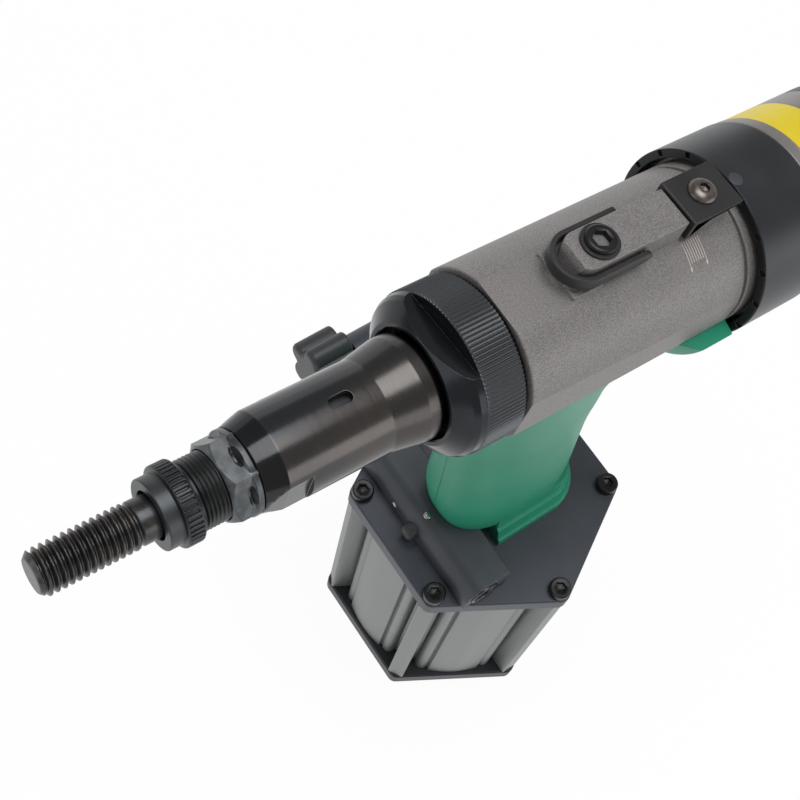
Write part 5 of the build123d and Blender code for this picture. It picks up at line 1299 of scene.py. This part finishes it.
    def bail(self) -> Piece:
        """The hanging bail: a rounded strip carried along a U, with round ends and stub pins.

        The middle line runs forward along one leg, half round the bend and back along the other.
        The section is a rounded rectangle, as thick as the strip and as high as it at each place.

        Returns:
            The bail.
        """
        half = self.bail_thick / 2
        middle = self.bail_inner + half
        reach = self.bail_height / 2
        tail = self.pivot_y + reach - 0.05
        leg = tail - self.bail_bend
        bend = math.pi * middle
        whole = 2 * leg + bend
        ends = np.linspace(0, reach, 12)
        run = np.unique(np.concatenate((np.linspace(0, whole, 90), ends, whole - ends)))[:, None]
        turn = np.clip((run - leg) / middle, 0, math.pi)
        back = self.bail_bend + run - leg - bend
        on_bend = self.bail_bend - middle * np.sin(turn)
        y = np.where(run < leg, tail - run, np.where(run > leg + bend, back, on_bend))
        beyond = np.maximum(y - self.pivot_y, 0)
        height = np.sqrt(np.maximum(reach**2 - beyond**2, 0.01))
        across, rise = rounded(rectangle((-1, -1), (1, 1)), 0.45, 5).T[:, None]
        x = (middle + across * half) * np.cos(turn)
        z = self.pivot_z + rise * height
        shell = Shell().grid(np.stack((x, y - across * half * np.sin(turn), z), axis=-1))
        disc = ellipse((self.pivot_y, self.pivot_z), self.pin, self.pin, 32)
        for side in (-1, 1):
            near, far = sorted((side * 5.0, side * (self.bail_inner + self.bail_thick + 0.1)))
            shell.prism(disc, soft_ends(near, far, 0.2, 0.2, 3), Along.X)
        return shell.build("hanging_loop", Seat.HEAD)

    def lock_plate(self) -> Piece:
        """The folded lock plate, whose flange is cut to the barrel's round.

        Returns:
            The plate.
        """
        start, end, half, thick = self.plate
        z, low = self.pad[3], self.flange_bottom
        corners = [(start, low), (start + thick, low), (start + thick, z), (end, z), (end, z + thick),
                   (start, z + thick)]
        outline = dense(rounded(corners, [0.06, 0.06, 0.3, 0.06, 0.06, 0.6]), 2.0)
        shell = Shell().prism(outline, soft_ends(-half, half, 0.06, 0.06), Along.X)
        piece = shell.build("folded_plate", Seat.HEAD)
        combine(piece, Shell().rod(0.0, 60.0, HEAD_RADIUS + 0.2, REAR_COLUMNS).build("tool", Seat.HEAD))
        return piece

    def lock_screw(self) -> Piece:
        """The button-head screw: a dome with a hexagon socket.

        The dome rises with a cosine while its radius falls with the sine to the power 0.9.

        Returns:
            The screw.
        """
        turn = np.linspace(math.pi / 2, 0.42, 10)[1:]
        dome = [(self.screw_rise * math.cos(t), self.screw_radius * math.sin(t) ** 0.9, 0) for t in turn]
        lip = dome[-1][0]
        outline = [(-6.0, 0.5, 0), (-6.0, 2.3, 0), (0.0, 2.3, 0), (0.0, 4.5, 0)] + dome
        outline += [(lip - 0.05, 1.0, 1), (lip - 1.5, 1.0, 1), (lip - 1.9, 0.3, 1)]
        place = (0, self.screw_y, self.pad[3] + self.plate[3])
        return Shell().turned_head(place, outline, self.screw_socket).build("button_screw", Seat.HEAD)

    def pieces(self) -> list[tuple]:
        """The head's pieces.

        Returns:
            One row for each piece.
        """
        return [
            (self.casting(), "root", HEAD_PAINT, "head_casting"),
            (self.marks(), "root", PRINT),
            (self.plug(), "root", SCREW_BLACK, "oil_plug"),
            (self.seal(), "root", BLACK_RUBBER, "plug_seal"),
            (self.bail(), "bail", PLATE_OXIDE, "hanging_bail"),
            (self.lock_plate(), "root", PLATE_OXIDE, "lock_plate"),
            (self.lock_screw(), "root", SCREW_BROWN, "lock_screw"),
        ]


@dataclass
class RearEnd(Assembly):
    """The notched sleeve, the grey collar, the motor barrel and its yellow ring."""

    front: float = 46.2
    back: float = 72.6
    radius: float = HEAD_RADIUS + 4.6
    mouth: float = HEAD_RADIUS + 1.7
    thread: float = HEAD_RADIUS + 0.95
    thread_front: float = 51.5
    notches: int = 16
    notch_width: float = 2.0
    notch_depth: float = 1.2
    notch_wall: float = 0.0008
    housing_radius: float = HEAD_RADIUS + 4.1
    barrel_front: float = 76.8
    housing_back: float = 106.0
    band: tuple[float, float] = (77.6, 93.0)
    # Where the painted reflection of the lock screw's head sits on the sleeve.
    spot: tuple[float, float, float] = (-0.6, 48.7, HEAD_RADIUS + 4.6)

    def sleeve(self) -> Piece:
        """The stroke sleeve; a notch pushes the front face back over its width.

        Returns:
            The sleeve.
        """
        front, back, step = self.front, self.back, self.thread_front
        corners = [(front, self.mouth), (front, self.radius), (back, self.radius), (back, self.thread),
                   (step, self.thread), (step, self.mouth)]
        profile = dense(rounded(corners, [0.15, 0.5, 0.7, 0.2, 0.2, 0.2]), 0.3)
        pitch = FULL_TURN / self.notches
        half = self.notch_width / 2 / self.radius
        middles = pitch / 2 + pitch * np.arange(self.notches)
        fine = self.notch_wall
        sides = (-half - fine, fine - half, half - fine, half + fine)
        walls = np.concatenate([middles + side for side in sides])

        def cut(y: np.ndarray, r: np.ndarray, angle: np.ndarray) -> tuple[np.ndarray, np.ndarray]:
            """Moves the front face back inside each notch, short of the mouth and the rim."""
            inside = np.abs(angle % pitch - pitch / 2) < half
            return y + self.notch_depth * inside * ((y < front + 0.1) & (r > self.mouth + 0.9)), r

        return Shell().lathe(profile, REAR_COLUMNS, cut, True, walls).build("notched_sleeve", Seat.HEAD)

    def ring(self, name: str, start: float, end: float, outer: float, inner: float, edge: float) -> Piece:
        """A plain turned ring with rounded edges, from its ends, its radii and its edges' radius."""
        corners = [(start, inner), (start, outer), (end, outer), (end, inner)]
        return turned(name, corners, edge, 4, 4.0, REAR_COLUMNS)

    def barrel(self) -> Piece:
        """The motor barrel, with a shallow seat for the yellow ring.

        Returns:
            The barrel.
        """
        r, front, back = self.housing_radius, self.barrel_front, self.housing_back
        b0, b1 = self.band
        corners = [(64.2, 22.5), (64.2, r - 3.2), (front, r - 3.2), (front, r), (b0, r), (b0, r - 0.35),
                   (b1, r - 0.35), (b1, r), (back, r), (back, 22.5)]
        radii = [0.2, 0.2, 0.2, 0.35, 0.05, 0.05, 0.05, 0.05, 0.3, 0.3]
        return turned("motor_barrel", corners, radii, 4, 4.0, REAR_COLUMNS)

    def dot(self) -> Piece:
        """A small round disc on the sleeve: a painted reflection of the lock screw's head.

        Returns:
            The spot.
        """
        outline = [(-0.8, 0.3, 0), (-0.8, 2.3, 0), (-0.05, 2.3, 0), (0.03, 2.1, 0), (0.05, 1, 0)]
        return Shell().turned_head(self.spot, outline).build("sleeve_screw_reflection", Seat.HEAD)

    def pieces(self) -> list[tuple]:
        """The rear pieces.

        Returns:
            One row for each piece.
        """
        collar = ("grey_collar", self.back + 0.2, self.barrel_front, self.radius - 0.3, 27.2, 0.4)
        b0, b1 = self.band
        yellow = ("yellow_ring", b0 + 0.05, b1 - 0.05, self.housing_radius, self.housing_radius - 0.33, 0.1)
        return [
            (self.sleeve(), "sleeve", SLEEVE_BLACK, "adjuster_sleeve"),
            # A painted reflection of the lock screw's head on the sleeve.
            (self.dot(), "sleeve", BLOCK_BLACK),
            (self.ring(*collar), "root", COLLAR_GREY, "rear_collar"),
            (self.barrel(), "root", COLLAR_GREY, "motor_housing"),
            (self.ring(*yellow), "root", LABEL_YELLOW, "label_band"),
        ]


@dataclass
class Grip(Assembly):
    """The two green grip shells, parted on the middle plane, and the trigger."""

    bottom: float = PLATE_TOP + 14.2
    exponent: float = 2.6
    seam: float = 0.07
    slot_half: float = 7.1
    slot_back: float = -21.5
    slot_bottom: float = 218.0
    slot_top: float = 250.0
    foot_half: float = 21.8
    foot_front: float = -10.0
    foot_arc: float = 18.0
    saddle: tuple[float, float, float] = (24.0, 31.0, 44.6)
    saddle_start: float = math.radians(106)
    trigger_half: float = 6.6
    levels: tuple = (
        (0.0, 18.0, -26.5, 31.0), (14.4, 18.4, -29.6, 30.0), (36.4, 17.2, -31.4, 28.6),
        (59.4, 16.8, -33.0, 26.5), (76.4, 17.6, -35.5, 25.4), (96.4, 18.6, -39.5, 24.6),
        (118.4, 20.8, -42.0, 28.0), (130.4, 22.0, -42.6, 31.0),
    )

    def at(self, height: np.ndarray) -> np.ndarray:
        """Half width, front and back of the grip at each height above its bottom.

        Between two levels the values follow a cubic curve whose slopes at the levels are the
        central differences.

        Args:
            height: Heights above the bottom.

        Returns:
            One row for each height.
        """
        table = np.array(self.levels)
        places, values = table[:, 0], table[:, 1:]
        slopes = np.gradient(values, places, axis=0)
        index = np.clip(np.searchsorted(places, height, side="right") - 1, 0, len(places) - 2)
        span = (places[index + 1] - places[index])[:, None]
        t = (height - places[index])[:, None] / span
        start = values[index] * (1 + 2 * t) * (1 - t) ** 2 + slopes[index] * span * t * (1 - t) ** 2
        end = values[index + 1] * (3 - 2 * t) * t**2 - slopes[index + 1] * span * (1 - t) * t**2
        return start + end

    def core(self, side: int) -> Shell:
        """One half of the handle, with its half of the trigger's slot.

        Each ring follows a squared ellipse from the back to the slot's edge, where x is the half
        width times a cosine to the power 2 over the exponent and y likewise with the sine. From
        there it runs across the front, or round the slot's walls, and back along the seam.

        Args:
            side: 1 for the left half and -1 for the right.

        Returns:
            The half handle.
        """
        low, high = self.slot_bottom - self.bottom, self.slot_top - self.bottom
        height = np.linspace(0, self.levels[-1][0], 90)
        height = np.sort(np.concatenate((height, (low - 0.001, low, high, high + 0.001))))
        slotted = ((height >= low - 0.0005) & (height <= high + 0.0005))[:, None]
        half, front, back = (column[:, None] for column in self.at(height).T)
        power = 2 / self.exponent
        edge = -np.arccos((self.slot_half / half) ** (1 / power))
        around = math.pi / 2 + (edge - math.pi / 2) * np.linspace(0, 1, 72)[None, :]
        middle, reach = (front + back) / 2, (back - front) / 2
        x = half * np.abs(np.cos(around)) ** power
        y = middle + reach * np.sign(np.sin(around)) * np.abs(np.sin(around)) ** power
        share = np.linspace(0, 1, 17)[None, 1:]
        across = edge + (-math.pi / 2 - edge) * share
        front_x = half * np.abs(np.cos(across)) ** power
        front_y = middle - reach * np.abs(np.sin(across)) ** power
        slot_x = self.slot_half * (1 - np.clip(share * 2 - 1, 0, 1))
        slot_y = y[:, -1:] + (self.slot_back - y[:, -1:]) * np.clip(share * 2, 0, 1)
        x = np.maximum(np.hstack((x, np.where(slotted, slot_x, front_x))), self.seam)
        y = np.hstack((y, np.where(slotted, slot_y, front_y)))
        z = np.repeat(height[:, None] + self.bottom, x.shape[1], axis=1)
        return Shell().grid(np.stack((side * x, y, z), axis=-1))

    def foot(self, side: int) -> Shell:
        """One half of the stepped foot: straight sides and a half-elliptical back.

        Args:
            side: 1 for the left half and -1 for the right.

        Returns:
            The half foot.
        """
        turn = np.linspace(0, math.pi / 2, 32)
        levels = soft_ends(PLATE_TOP, PLATE_TOP + 4.6, 0.1, 1.2, 5)
        upper = soft_ends(PLATE_TOP + 4.8, PLATE_TOP + 10.2, 0.1, 0.8, 5)[5:]
        levels += [(z, depth + 2.4) for z, depth in upper]
        levels += [(PLATE_TOP + 10.4, 3.6), (self.bottom + 4, 4.2)]
        rings = []
        for z, depth in levels:
            half, reach = self.foot_half - depth, self.foot_arc - depth
            arc = np.stack((half * np.cos(turn), self.foot_arc + reach * np.sin(turn)), axis=1)
            front = [(self.seam, self.foot_front), (half, self.foot_front)]
            ring = np.vstack((front, arc[:-1], [(self.seam, self.foot_arc + reach)]))
            rings.append(np.insert(ring * (side, 1), 2, z, axis=1))
        return Shell().grid(np.stack(rings))

    def collar(self, side: int) -> Shell:
        """One half of the saddle under the head's rear end, in the head's frame.

        Its section is carried round the tool axis from the first angle to the seam.

        Args:
            side: 1 for the left half and -1 for the right.

        Returns:
            The half saddle.
        """
        inner, outer = HEAD_RADIUS - 0.5, HEAD_RADIUS + 5.1
        start, flare, end = self.saddle
        corners = [(start, inner), (start, HEAD_RADIUS - 0.2), (flare, outer), (end, outer), (end, inner)]
        place, radius = rounded(corners, [0.1, 0.1, 3.0, 0.8, 0.1], 6).T[:, None]
        angle = np.linspace(self.saddle_start, math.pi - self.seam / outer, 40)[:, None]
        y = np.repeat(place, len(angle), axis=0)
        return Shell().grid(np.stack((side * radius * np.sin(angle), y, radius * np.cos(angle)), axis=-1))

    def half_shell(self, name: str, side: int) -> Piece:
        """One grip shell: handle, foot and saddle, with room for the pump tube and the head.

        Args:
            name: The piece's name.
            side: 1 for the left shell and -1 for the right.

        Returns:
            The shell.
        """
        piece = self.core(side).build(name, Seat.BASE)
        room = Shell().prism(ellipse((0, 2), 13.6, 17), [(120, 0), (268, 0)], Along.Z)
        head = Shell().rod(-60.0, 60.0, HEAD_RADIUS - 1.8, 96)
        combine(piece, self.foot(side).build("tool", Seat.BASE), "UNION")
        combine(piece, self.collar(side).build("tool", Seat.HEAD), "UNION")
        combine(piece, room.build("tool", Seat.BASE))
        combine(piece, head.build("tool", Seat.HEAD))
        return piece

    def trigger(self) -> Piece:
        """The short curved trigger.

        Its front edge bows out by the sine of its height's share to the power 0.8.

        Returns:
            The trigger.
        """
        turn = np.linspace(0, 1, 15)
        bow = -44.6 - 4.6 * np.sin(turn * math.pi) ** 0.8 - 0.4 * turn
        front = np.stack((bow, 227.0 + 21.6 * turn), axis=1)
        outline = np.vstack(([(-31.4, 227.0)], front, [(-30.0, 248.6), (-26.4, 245.0), (-31.4, 237.8)]))
        levels = soft_ends(-self.trigger_half, self.trigger_half, 1.0, 1.0, 5)
        return Shell().prism(dense(outline, 1.2), levels, Along.X).build("swing_trigger", Seat.BASE)

    def pieces(self) -> list[tuple]:
        """The grip's pieces.

        Returns:
            One row for each piece.
        """
        return [
            (self.half_shell("left_shell", 1), "root", GREEN_PLASTIC, "left_grip_shell"),
            (self.half_shell("right_shell", -1), "root", GREEN_PLASTIC, "right_grip_shell"),
            (self.trigger(), "trigger", BLACK_PLASTIC, "trigger"),
        ]


@dataclass
class AirCylinder(Assembly):
    """The upper hexagonal plate, the ribbed cylinder under it and the plates' screws."""

    apothem: float = 47.68
    thickness: float = 8.0
    corner_radius: float = 4.0
    bolt_circle: float = 49.5
    bottom: float = 8.6
    top: float = 112.8
    wall: float = 43.2
    bulge: float = 46.3
    bulge_half: float = math.radians(15.4)
    lobe_radius: float = 3.3
    lobe_turn: float = math.radians(11)
    column_half: float = 3.7
    column_reach: float = 53.2
    column_turn: float = math.radians(5.2)
    lower_seat: float = 3.8

    def plate(self) -> Piece:
        """The upper plate, a hexagon with rounded corners and edges.

        The corners lie at the apothem over the cosine of 30 degrees before they are rounded.

        Returns:
            The plate.
        """
        turn = np.arange(PLATE_CORNERS) * FULL_TURN / PLATE_CORNERS
        corner = self.apothem / math.cos(math.radians(30))
        corners = np.stack((corner * np.cos(turn), corner * np.sin(turn)), axis=1)
        outline = dense(rounded(corners, self.corner_radius, 10), 6.0)
        levels = soft_ends(PLATE_TOP - self.thickness, PLATE_TOP, 0.3, 0.8)
        return Shell().prism(outline, levels, Along.Z).build("upper_plate", Seat.BASE)

    def cylinder(self) -> Piece:
        """The extruded cylinder.

        At each angle the radius is the largest of the round wall, the bulge in the middle of a
        side, two lobes beside each corner and the corner's column.

        Returns:
            The cylinder.
        """
        angle = np.linspace(0, FULL_TURN, 1800, endpoint=False)
        off = np.abs(off_middle(angle, PLATE_CORNERS))
        to_side = FULL_TURN / PLATE_CORNERS / 2 - off
        lobes = lobe(off - self.lobe_turn, self.bulge - self.lobe_radius, self.lobe_radius)
        bulge = self.bulge - 1.6 * step_up(to_side, math.radians(13.6), self.bulge_half) ** 2
        bulge = np.where(to_side < self.bulge_half, bulge, 0)
        sides = self.column_half / np.maximum(np.sin(off), 1e-3)
        column = soft_min(sides, self.column_reach / np.cos(off), 1.4)
        column = np.where(off < self.column_turn, column, 0)
        radius = np.maximum.reduce((np.full_like(angle, self.wall), lobes, bulge, column))
        outline = np.stack((radius * np.cos(angle), radius * np.sin(angle)), axis=1)
        levels = [(z, 0) for z in (self.bottom, self.bottom + 30, self.top - 30, self.top)]
        return Shell().prism(outline, levels, Along.Z).build("ribbed_cylinder", Seat.BASE)

    def screws(self, name: str, seat: float, facing: int) -> Piece:
        """Socket screws at the plates' corners.

        Args:
            name: The piece's name.
            seat: Height of the heads' seats.
            facing: 1 where the heads face up and -1 where they face down.

        Returns:
            The screws.
        """
        outline = [(-18, 0.5, 0), (-18, 2.4, 0), (0, 2.4, 0), (0, 4.2, 0), (0.15, 4.4, 0), (2.9, 4.4, 0),
                   (3.35, 4.2, 0), (3.6, 3.8, 0), (3.6, 2.7, 0), (3.4, 1.0, 1), (1.6, 1.0, 1), (1.2, 0.3, 1)]
        shell = Shell()
        for index in range(PLATE_CORNERS):
            turn = FULL_TURN / PLATE_CORNERS * index
            place = (self.bolt_circle * math.cos(turn), self.bolt_circle * math.sin(turn), seat)
            shell.turned_head(place, outline, 4.0, 60, facing=facing)
        return shell.build(name, Seat.BASE)

    def pieces(self) -> list[tuple]:
        """The base's pieces.

        Returns:
            One row for each piece.
        """
        return [
            (self.plate(), "root", PLATE_BLACK, "top_plate"),
            (self.cylinder(), "root", EXTRUSION, "cylinder_body"),
            (self.screws("upper_screws", PLATE_TOP, 1), "root", SCREW_BLACK, "top_screws"),
            (self.screws("lower_screws", self.lower_seat, -1), "root", SCREW_BLACK, "bottom_screws"),
        ]


@dataclass
class ValveBlock(Assembly):
    """The valve block on the upper plate and the lobed knob of the regulator beside it."""

    front: float = -36.5
    back: float = -16.5
    left_end: float = 35.5
    right_end: float = -44.0
    height: float = 14.0
    ridge: float = 8.0
    arm_width: float = 12.0
    arm_back: float = 0.5
    inlet_y: float = -28.0
    inlet_depth: float = 12.0
    inlet_radius: float = 6.0
    inlet_bore: float = 4.9
    inlet_pitch: float = 0.907
    inlet_thread: float = 0.55
    plug_y: float = -31.0
    side_plug_x: float = -12.5
    button_z: float = PLATE_TOP + 6.4
    button_radius: float = 3.35
    knob_x: float = -73.0
    knob_z: float = PLATE_TOP + 9.0
    knob_lobes: int = 6
    knob_core: float = 12.2
    knob_place: float = 11.6
    knob_lobe: float = 4.6
    knob_ends: tuple[float, float] = (-36.4, -18.3)

    def block(self) -> Piece:
        """The block: a bar with a round front ridge, and its arm.

        Returns:
            The block.
        """
        z0, z1 = PLATE_TOP, PLATE_TOP + self.height
        outline = rounded(rectangle((self.front, z0), (self.back, z1)), [0.3, 0.3, 0.7, self.ridge], 12)
        levels = soft_ends(self.right_end, self.left_end, 0.6, 0.6)
        piece = Shell().prism(dense(outline, 3.0), levels, Along.X).build("ridge_block", Seat.BASE)
        plan = rectangle((self.right_end, self.back - 3), (self.right_end + self.arm_width, self.arm_back))
        arm = Shell().prism(rounded(plan, 0.6, 4), soft_ends(z0, z1, 0.1, 0.6), Along.Z)
        combine(piece, arm.build("tool", Seat.BASE), "UNION")
        reach = self.inlet_radius + 0.05
        hole = ellipse((self.inlet_y, (z0 + z1) / 2), reach, reach)
        levels = [(self.left_end - self.inlet_depth, 0), (self.left_end + 3, 0)]
        combine(piece, Shell().prism(hole, levels, Along.X).build("tool", Seat.BASE))
        return piece

    def bush(self) -> Piece:
        """The inlet bush, threaded inside.

        The bore's radius falls below the thread's crest by a triangle wave along the bore.

        Returns:
            The bush.
        """
        start, end = self.left_end - self.inlet_depth, self.left_end + 0.8
        outer, bore = self.inlet_radius, self.inlet_bore
        corners = [(start, bore), (start, outer), (end, outer), (end, bore)]
        section = np.insert(dense(rounded(corners, [0.1, 0.1, 0.4, 0.4], 4), 0.22), 2, 0, axis=1)

        def cut(x: np.ndarray, r: np.ndarray, angle: np.ndarray) -> tuple[np.ndarray, np.ndarray]:
            """Thread in the bore."""
            groove = self.inlet_thread * wave(x / self.inlet_pitch + angle / FULL_TURN)
            return x, np.where(r < bore + 0.1, r - groove, r)

        place = (0, self.inlet_y, PLATE_TOP + self.height / 2)
        shell = Shell().turned_head(place, section, along=Along.X, loop=True, cut=cut)
        return shell.build("air_bush", Seat.BASE)

    def plugs(self) -> Piece:
        """The domed plugs of two drillings, on top of the block and in its front.

        Returns:
            The plugs.
        """
        dome = [(-2.5, 0.3, 0), (-2.5, 1.55, 0), (0, 1.55, 0), (0.25, 1.45, 0), (0.5, 1.15, 0),
                (0.65, 0.6, 0)]
        shell = Shell().turned_head((0, self.plug_y, PLATE_TOP + self.height), dome, columns=32)
        place = (self.side_plug_x, self.front, PLATE_TOP + self.height / 3)
        return shell.turned_head(place, dome, 0, 32, Along.Y, -1).build("domed_plugs", Seat.BASE)

    def button(self) -> Piece:
        """The domed button in the block's front.

        The dome rises with a sine while its radius falls with the cosine to the power 0.7.

        Returns:
            The button.
        """
        radius = self.button_radius
        cap = [(6.0, 0.5, 0), (6.0, radius, 0)]
        for turn in np.linspace(0, 1.5, 10):
            cap.append((-2.3 - 2.2 * math.sin(turn), radius * math.cos(turn) ** 0.7 + 0.05, 0))
        place = (0, self.front, self.button_z)
        return Shell().turned_head(place, cap, 0, 48, Along.Y).build("domed_button", Seat.BASE)

    def knob(self) -> Piece:
        """The knob: at each angle the larger of its core and the nearest of its round lobes.

        Returns:
            The knob.
        """
        angle = np.linspace(0, FULL_TURN, 240, endpoint=False)
        lobes = lobe(off_middle(angle, self.knob_lobes, math.radians(15)), self.knob_place, self.knob_lobe)
        radius = -soft_min(-lobes, np.full_like(lobes, -self.knob_core), 1.6) - 0.35
        outline = (self.knob_x + radius * np.cos(angle), self.knob_z - radius * np.sin(angle))
        shell = Shell().prism(np.stack(outline, axis=1), soft_ends(*self.knob_ends, 2.2, 1.2, 6), Along.Y)
        return shell.build("lobed_knob", Seat.BASE)

    def pieces(self) -> list[tuple]:
        """The block's pieces and the knob.

        Returns:
            One row for each piece.
        """
        return [
            (self.plugs(), "root", BRIGHT_STEEL, "channel_plugs"),
            (self.button(), "button", BLACK_PLASTIC, "reverse_button"),
            (self.block(), "root", BLOCK_BLACK, "valve_block"),
            (self.bush(), "root", BUSH_STEEL, "inlet_bush"),
            (self.knob(), "knob", BLACK_PLASTIC, "star_knob"),
        ]


SOLID_FINISHES: dict[Finish, tuple[str, ...]] = {
    BLACK_RUBBER: ("cylinder_gaskets", "piston_seal", "rod_seal", "draw_seal"),
    EXTRUSION: ("air_piston",),
    PLATE_BLACK: ("bottom_plate", "regulator_body"),
    BLACK_PLASTIC: ("rear_cap", "motor_vanes"),
    SCREW_BLACK: ("rear_screws",),
    # The adapter's and the spindle's dark finish is partly painted shade: it keeps the inside of the nose's
    # windows dark.
    ANVIL_BLACK: ("mandrel_adapter", "spindle"),
    BEARING_BRONZE: ("valve_bush", "thrust_bearing", "motor_bearings"),
    BRIGHT_STEEL: (
        "pump_rod", "pump_tube", "button_spring", "trigger_pin", "trigger_plunger", "trigger_spring",
        "draw_piston", "gland_ring", "return_spring", "ring_gear", "planet_carrier", "motor_rotor",
        "motor_liner", "motor_end_plates", "planet_gear_1", "planet_gear_2", "planet_gear_3",
    ),
}


@dataclass
class Station:
    """The camera at the photograph's place, the floor and the studio light."""

    place: tuple = (0.10996, -0.19174, 0.62629)
    right: tuple = (0.5607, 0.8191, 0.1213)
    up: tuple = (-0.7773, 0.4702, 0.4181)
    forward: tuple = (-0.2854, 0.3287, -0.9003)
    lens: float = 61.88
    sensor: float = 36.0
    near: float = 0.01
    floor_half: float = 3.0
    floor_colour: tuple = (0.85, 0.85, 0.85)
    white: tuple = (1.0, 1.0, 1.0)
    white_share: float = 0.93
    white_strength: float = 1.02
    sky: float = 0.34
    aim: tuple = (0, 0, 0.2)

    def camera(self) -> None:
        """Puts the camera where the photograph was taken."""
        data = bpy.data.cameras.new("camera")
        data.lens = self.lens
        data.sensor_width = self.sensor
        data.clip_start = self.near
        camera = bpy.data.objects.new("camera", data)
        bpy.context.scene.collection.objects.link(camera)
        turn = Matrix((Vector(self.right), Vector(self.up), -Vector(self.forward))).transposed().to_4x4()
        camera.matrix_world = Matrix.Translation(self.place) @ turn
        bpy.context.scene.camera = camera
        LOG.info("camera placed")

    def floor(self) -> None:
        """Lays a pale floor that the camera and reflections see as white, with the tool's shadow."""
        half = self.floor_half
        corners = [(x, y, 0) for x, y in rectangle((-half, -half), (half, half))]
        mesh = bpy.data.meshes.new("floor")
        mesh.from_pydata(corners, [], [(0, 1, 2, 3)])
        floor = bpy.data.objects.new("floor", mesh)
        bpy.context.scene.collection.objects.link(floor)
        paint = Paint("floor")
        paint.set(Base_Color=self.floor_colour, Roughness=0.9)
        glow = {"Color": self.white, "Strength": self.white_strength}
        light = paint.node("ShaderNodeEmission", None, glow)
        path = paint.node("ShaderNodeLightPath").outputs
        seen = Signal(paint, path["Is Camera Ray"]) + Signal(paint, path["Is Glossy Ray"])
        sockets = {0: seen * self.white_share, 1: paint.shader.outputs[0], 2: light.outputs[0]}
        mixed = paint.node("ShaderNodeMixShader", None, sockets)
        paint.feed(paint.output.inputs["Surface"], mixed.outputs[0])
        mesh.materials.append(paint.material)

    def lamp(self, name: str, place: tuple, size: tuple[float, float], power: float) -> None:
        """Adds one rectangular soft lamp that faces the tool.

        Args:
            name: The lamp's name.
            place: Its centre in metres.
            size: Its width and height in metres.
            power: Its power in watts.
        """
        data = bpy.data.lights.new(name, "AREA")
        data.shape = "RECTANGLE"
        data.size, data.size_y = size
        data.energy = power
        lamp = bpy.data.objects.new(name, data)
        bpy.context.scene.collection.objects.link(lamp)
        turn = (Vector(place) - Vector(self.aim)).to_track_quat("Z", "Y").to_matrix().to_4x4()
        lamp.matrix_world = Matrix.Translation(place) @ turn

    def light(self) -> None:
        """Lights the tool with an even dim sky, a soft lamp overhead and three wide ones around."""
        world = bpy.data.worlds.new("studio")
        bpy.context.scene.world = world
        tree = Tree(world)
        seen = Signal(tree, tree.node("ShaderNodeLightPath").outputs["Is Camera Ray"])
        level = self.sky + seen * (1 - self.sky)
        sky = tree.node("ShaderNodeBackground", None, {"Color": self.white, "Strength": level})
        tree.node("ShaderNodeOutputWorld", None, {"Surface": sky.outputs[0]})
        self.lamp("top_lamp", (0.0, 0.2, 1.65), (1.0, 0.9), 11)
        self.lamp("right_lamp", (1.13, 0.6, 0.42), (1.2, 0.6), 3.6)
        self.lamp("left_lamp", (-1.22, 0.4, 0.42), (1.2, 0.6), 1.3)
        self.lamp("front_lamp", (-0.2, -1.3, 0.6), (1.2, 0.6), 2.6)
        LOG.info("floor and lamps placed")


def main(frame: dict) -> None:
    """Builds the looks in order.
    """
    bpy.context.scene.view_settings.view_transform = "Standard"
    station = Station()
    station.camera()
    station.floor()
    station.light()
    shop = Workshop(frame)
    for assembly in (NoseTrain(), RingNut(), Head(), RearEnd(), Grip(), AirCylinder(), ValveBlock()):
        assembly.make(shop)
    for finish, names in SOLID_FINISHES.items():
        for name in names:
            shop.dress(name, finish)


if __name__ == "__main__":
    logging.basicConfig(level=logging.INFO, format="%(message)s")
    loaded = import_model()
    main(loaded)
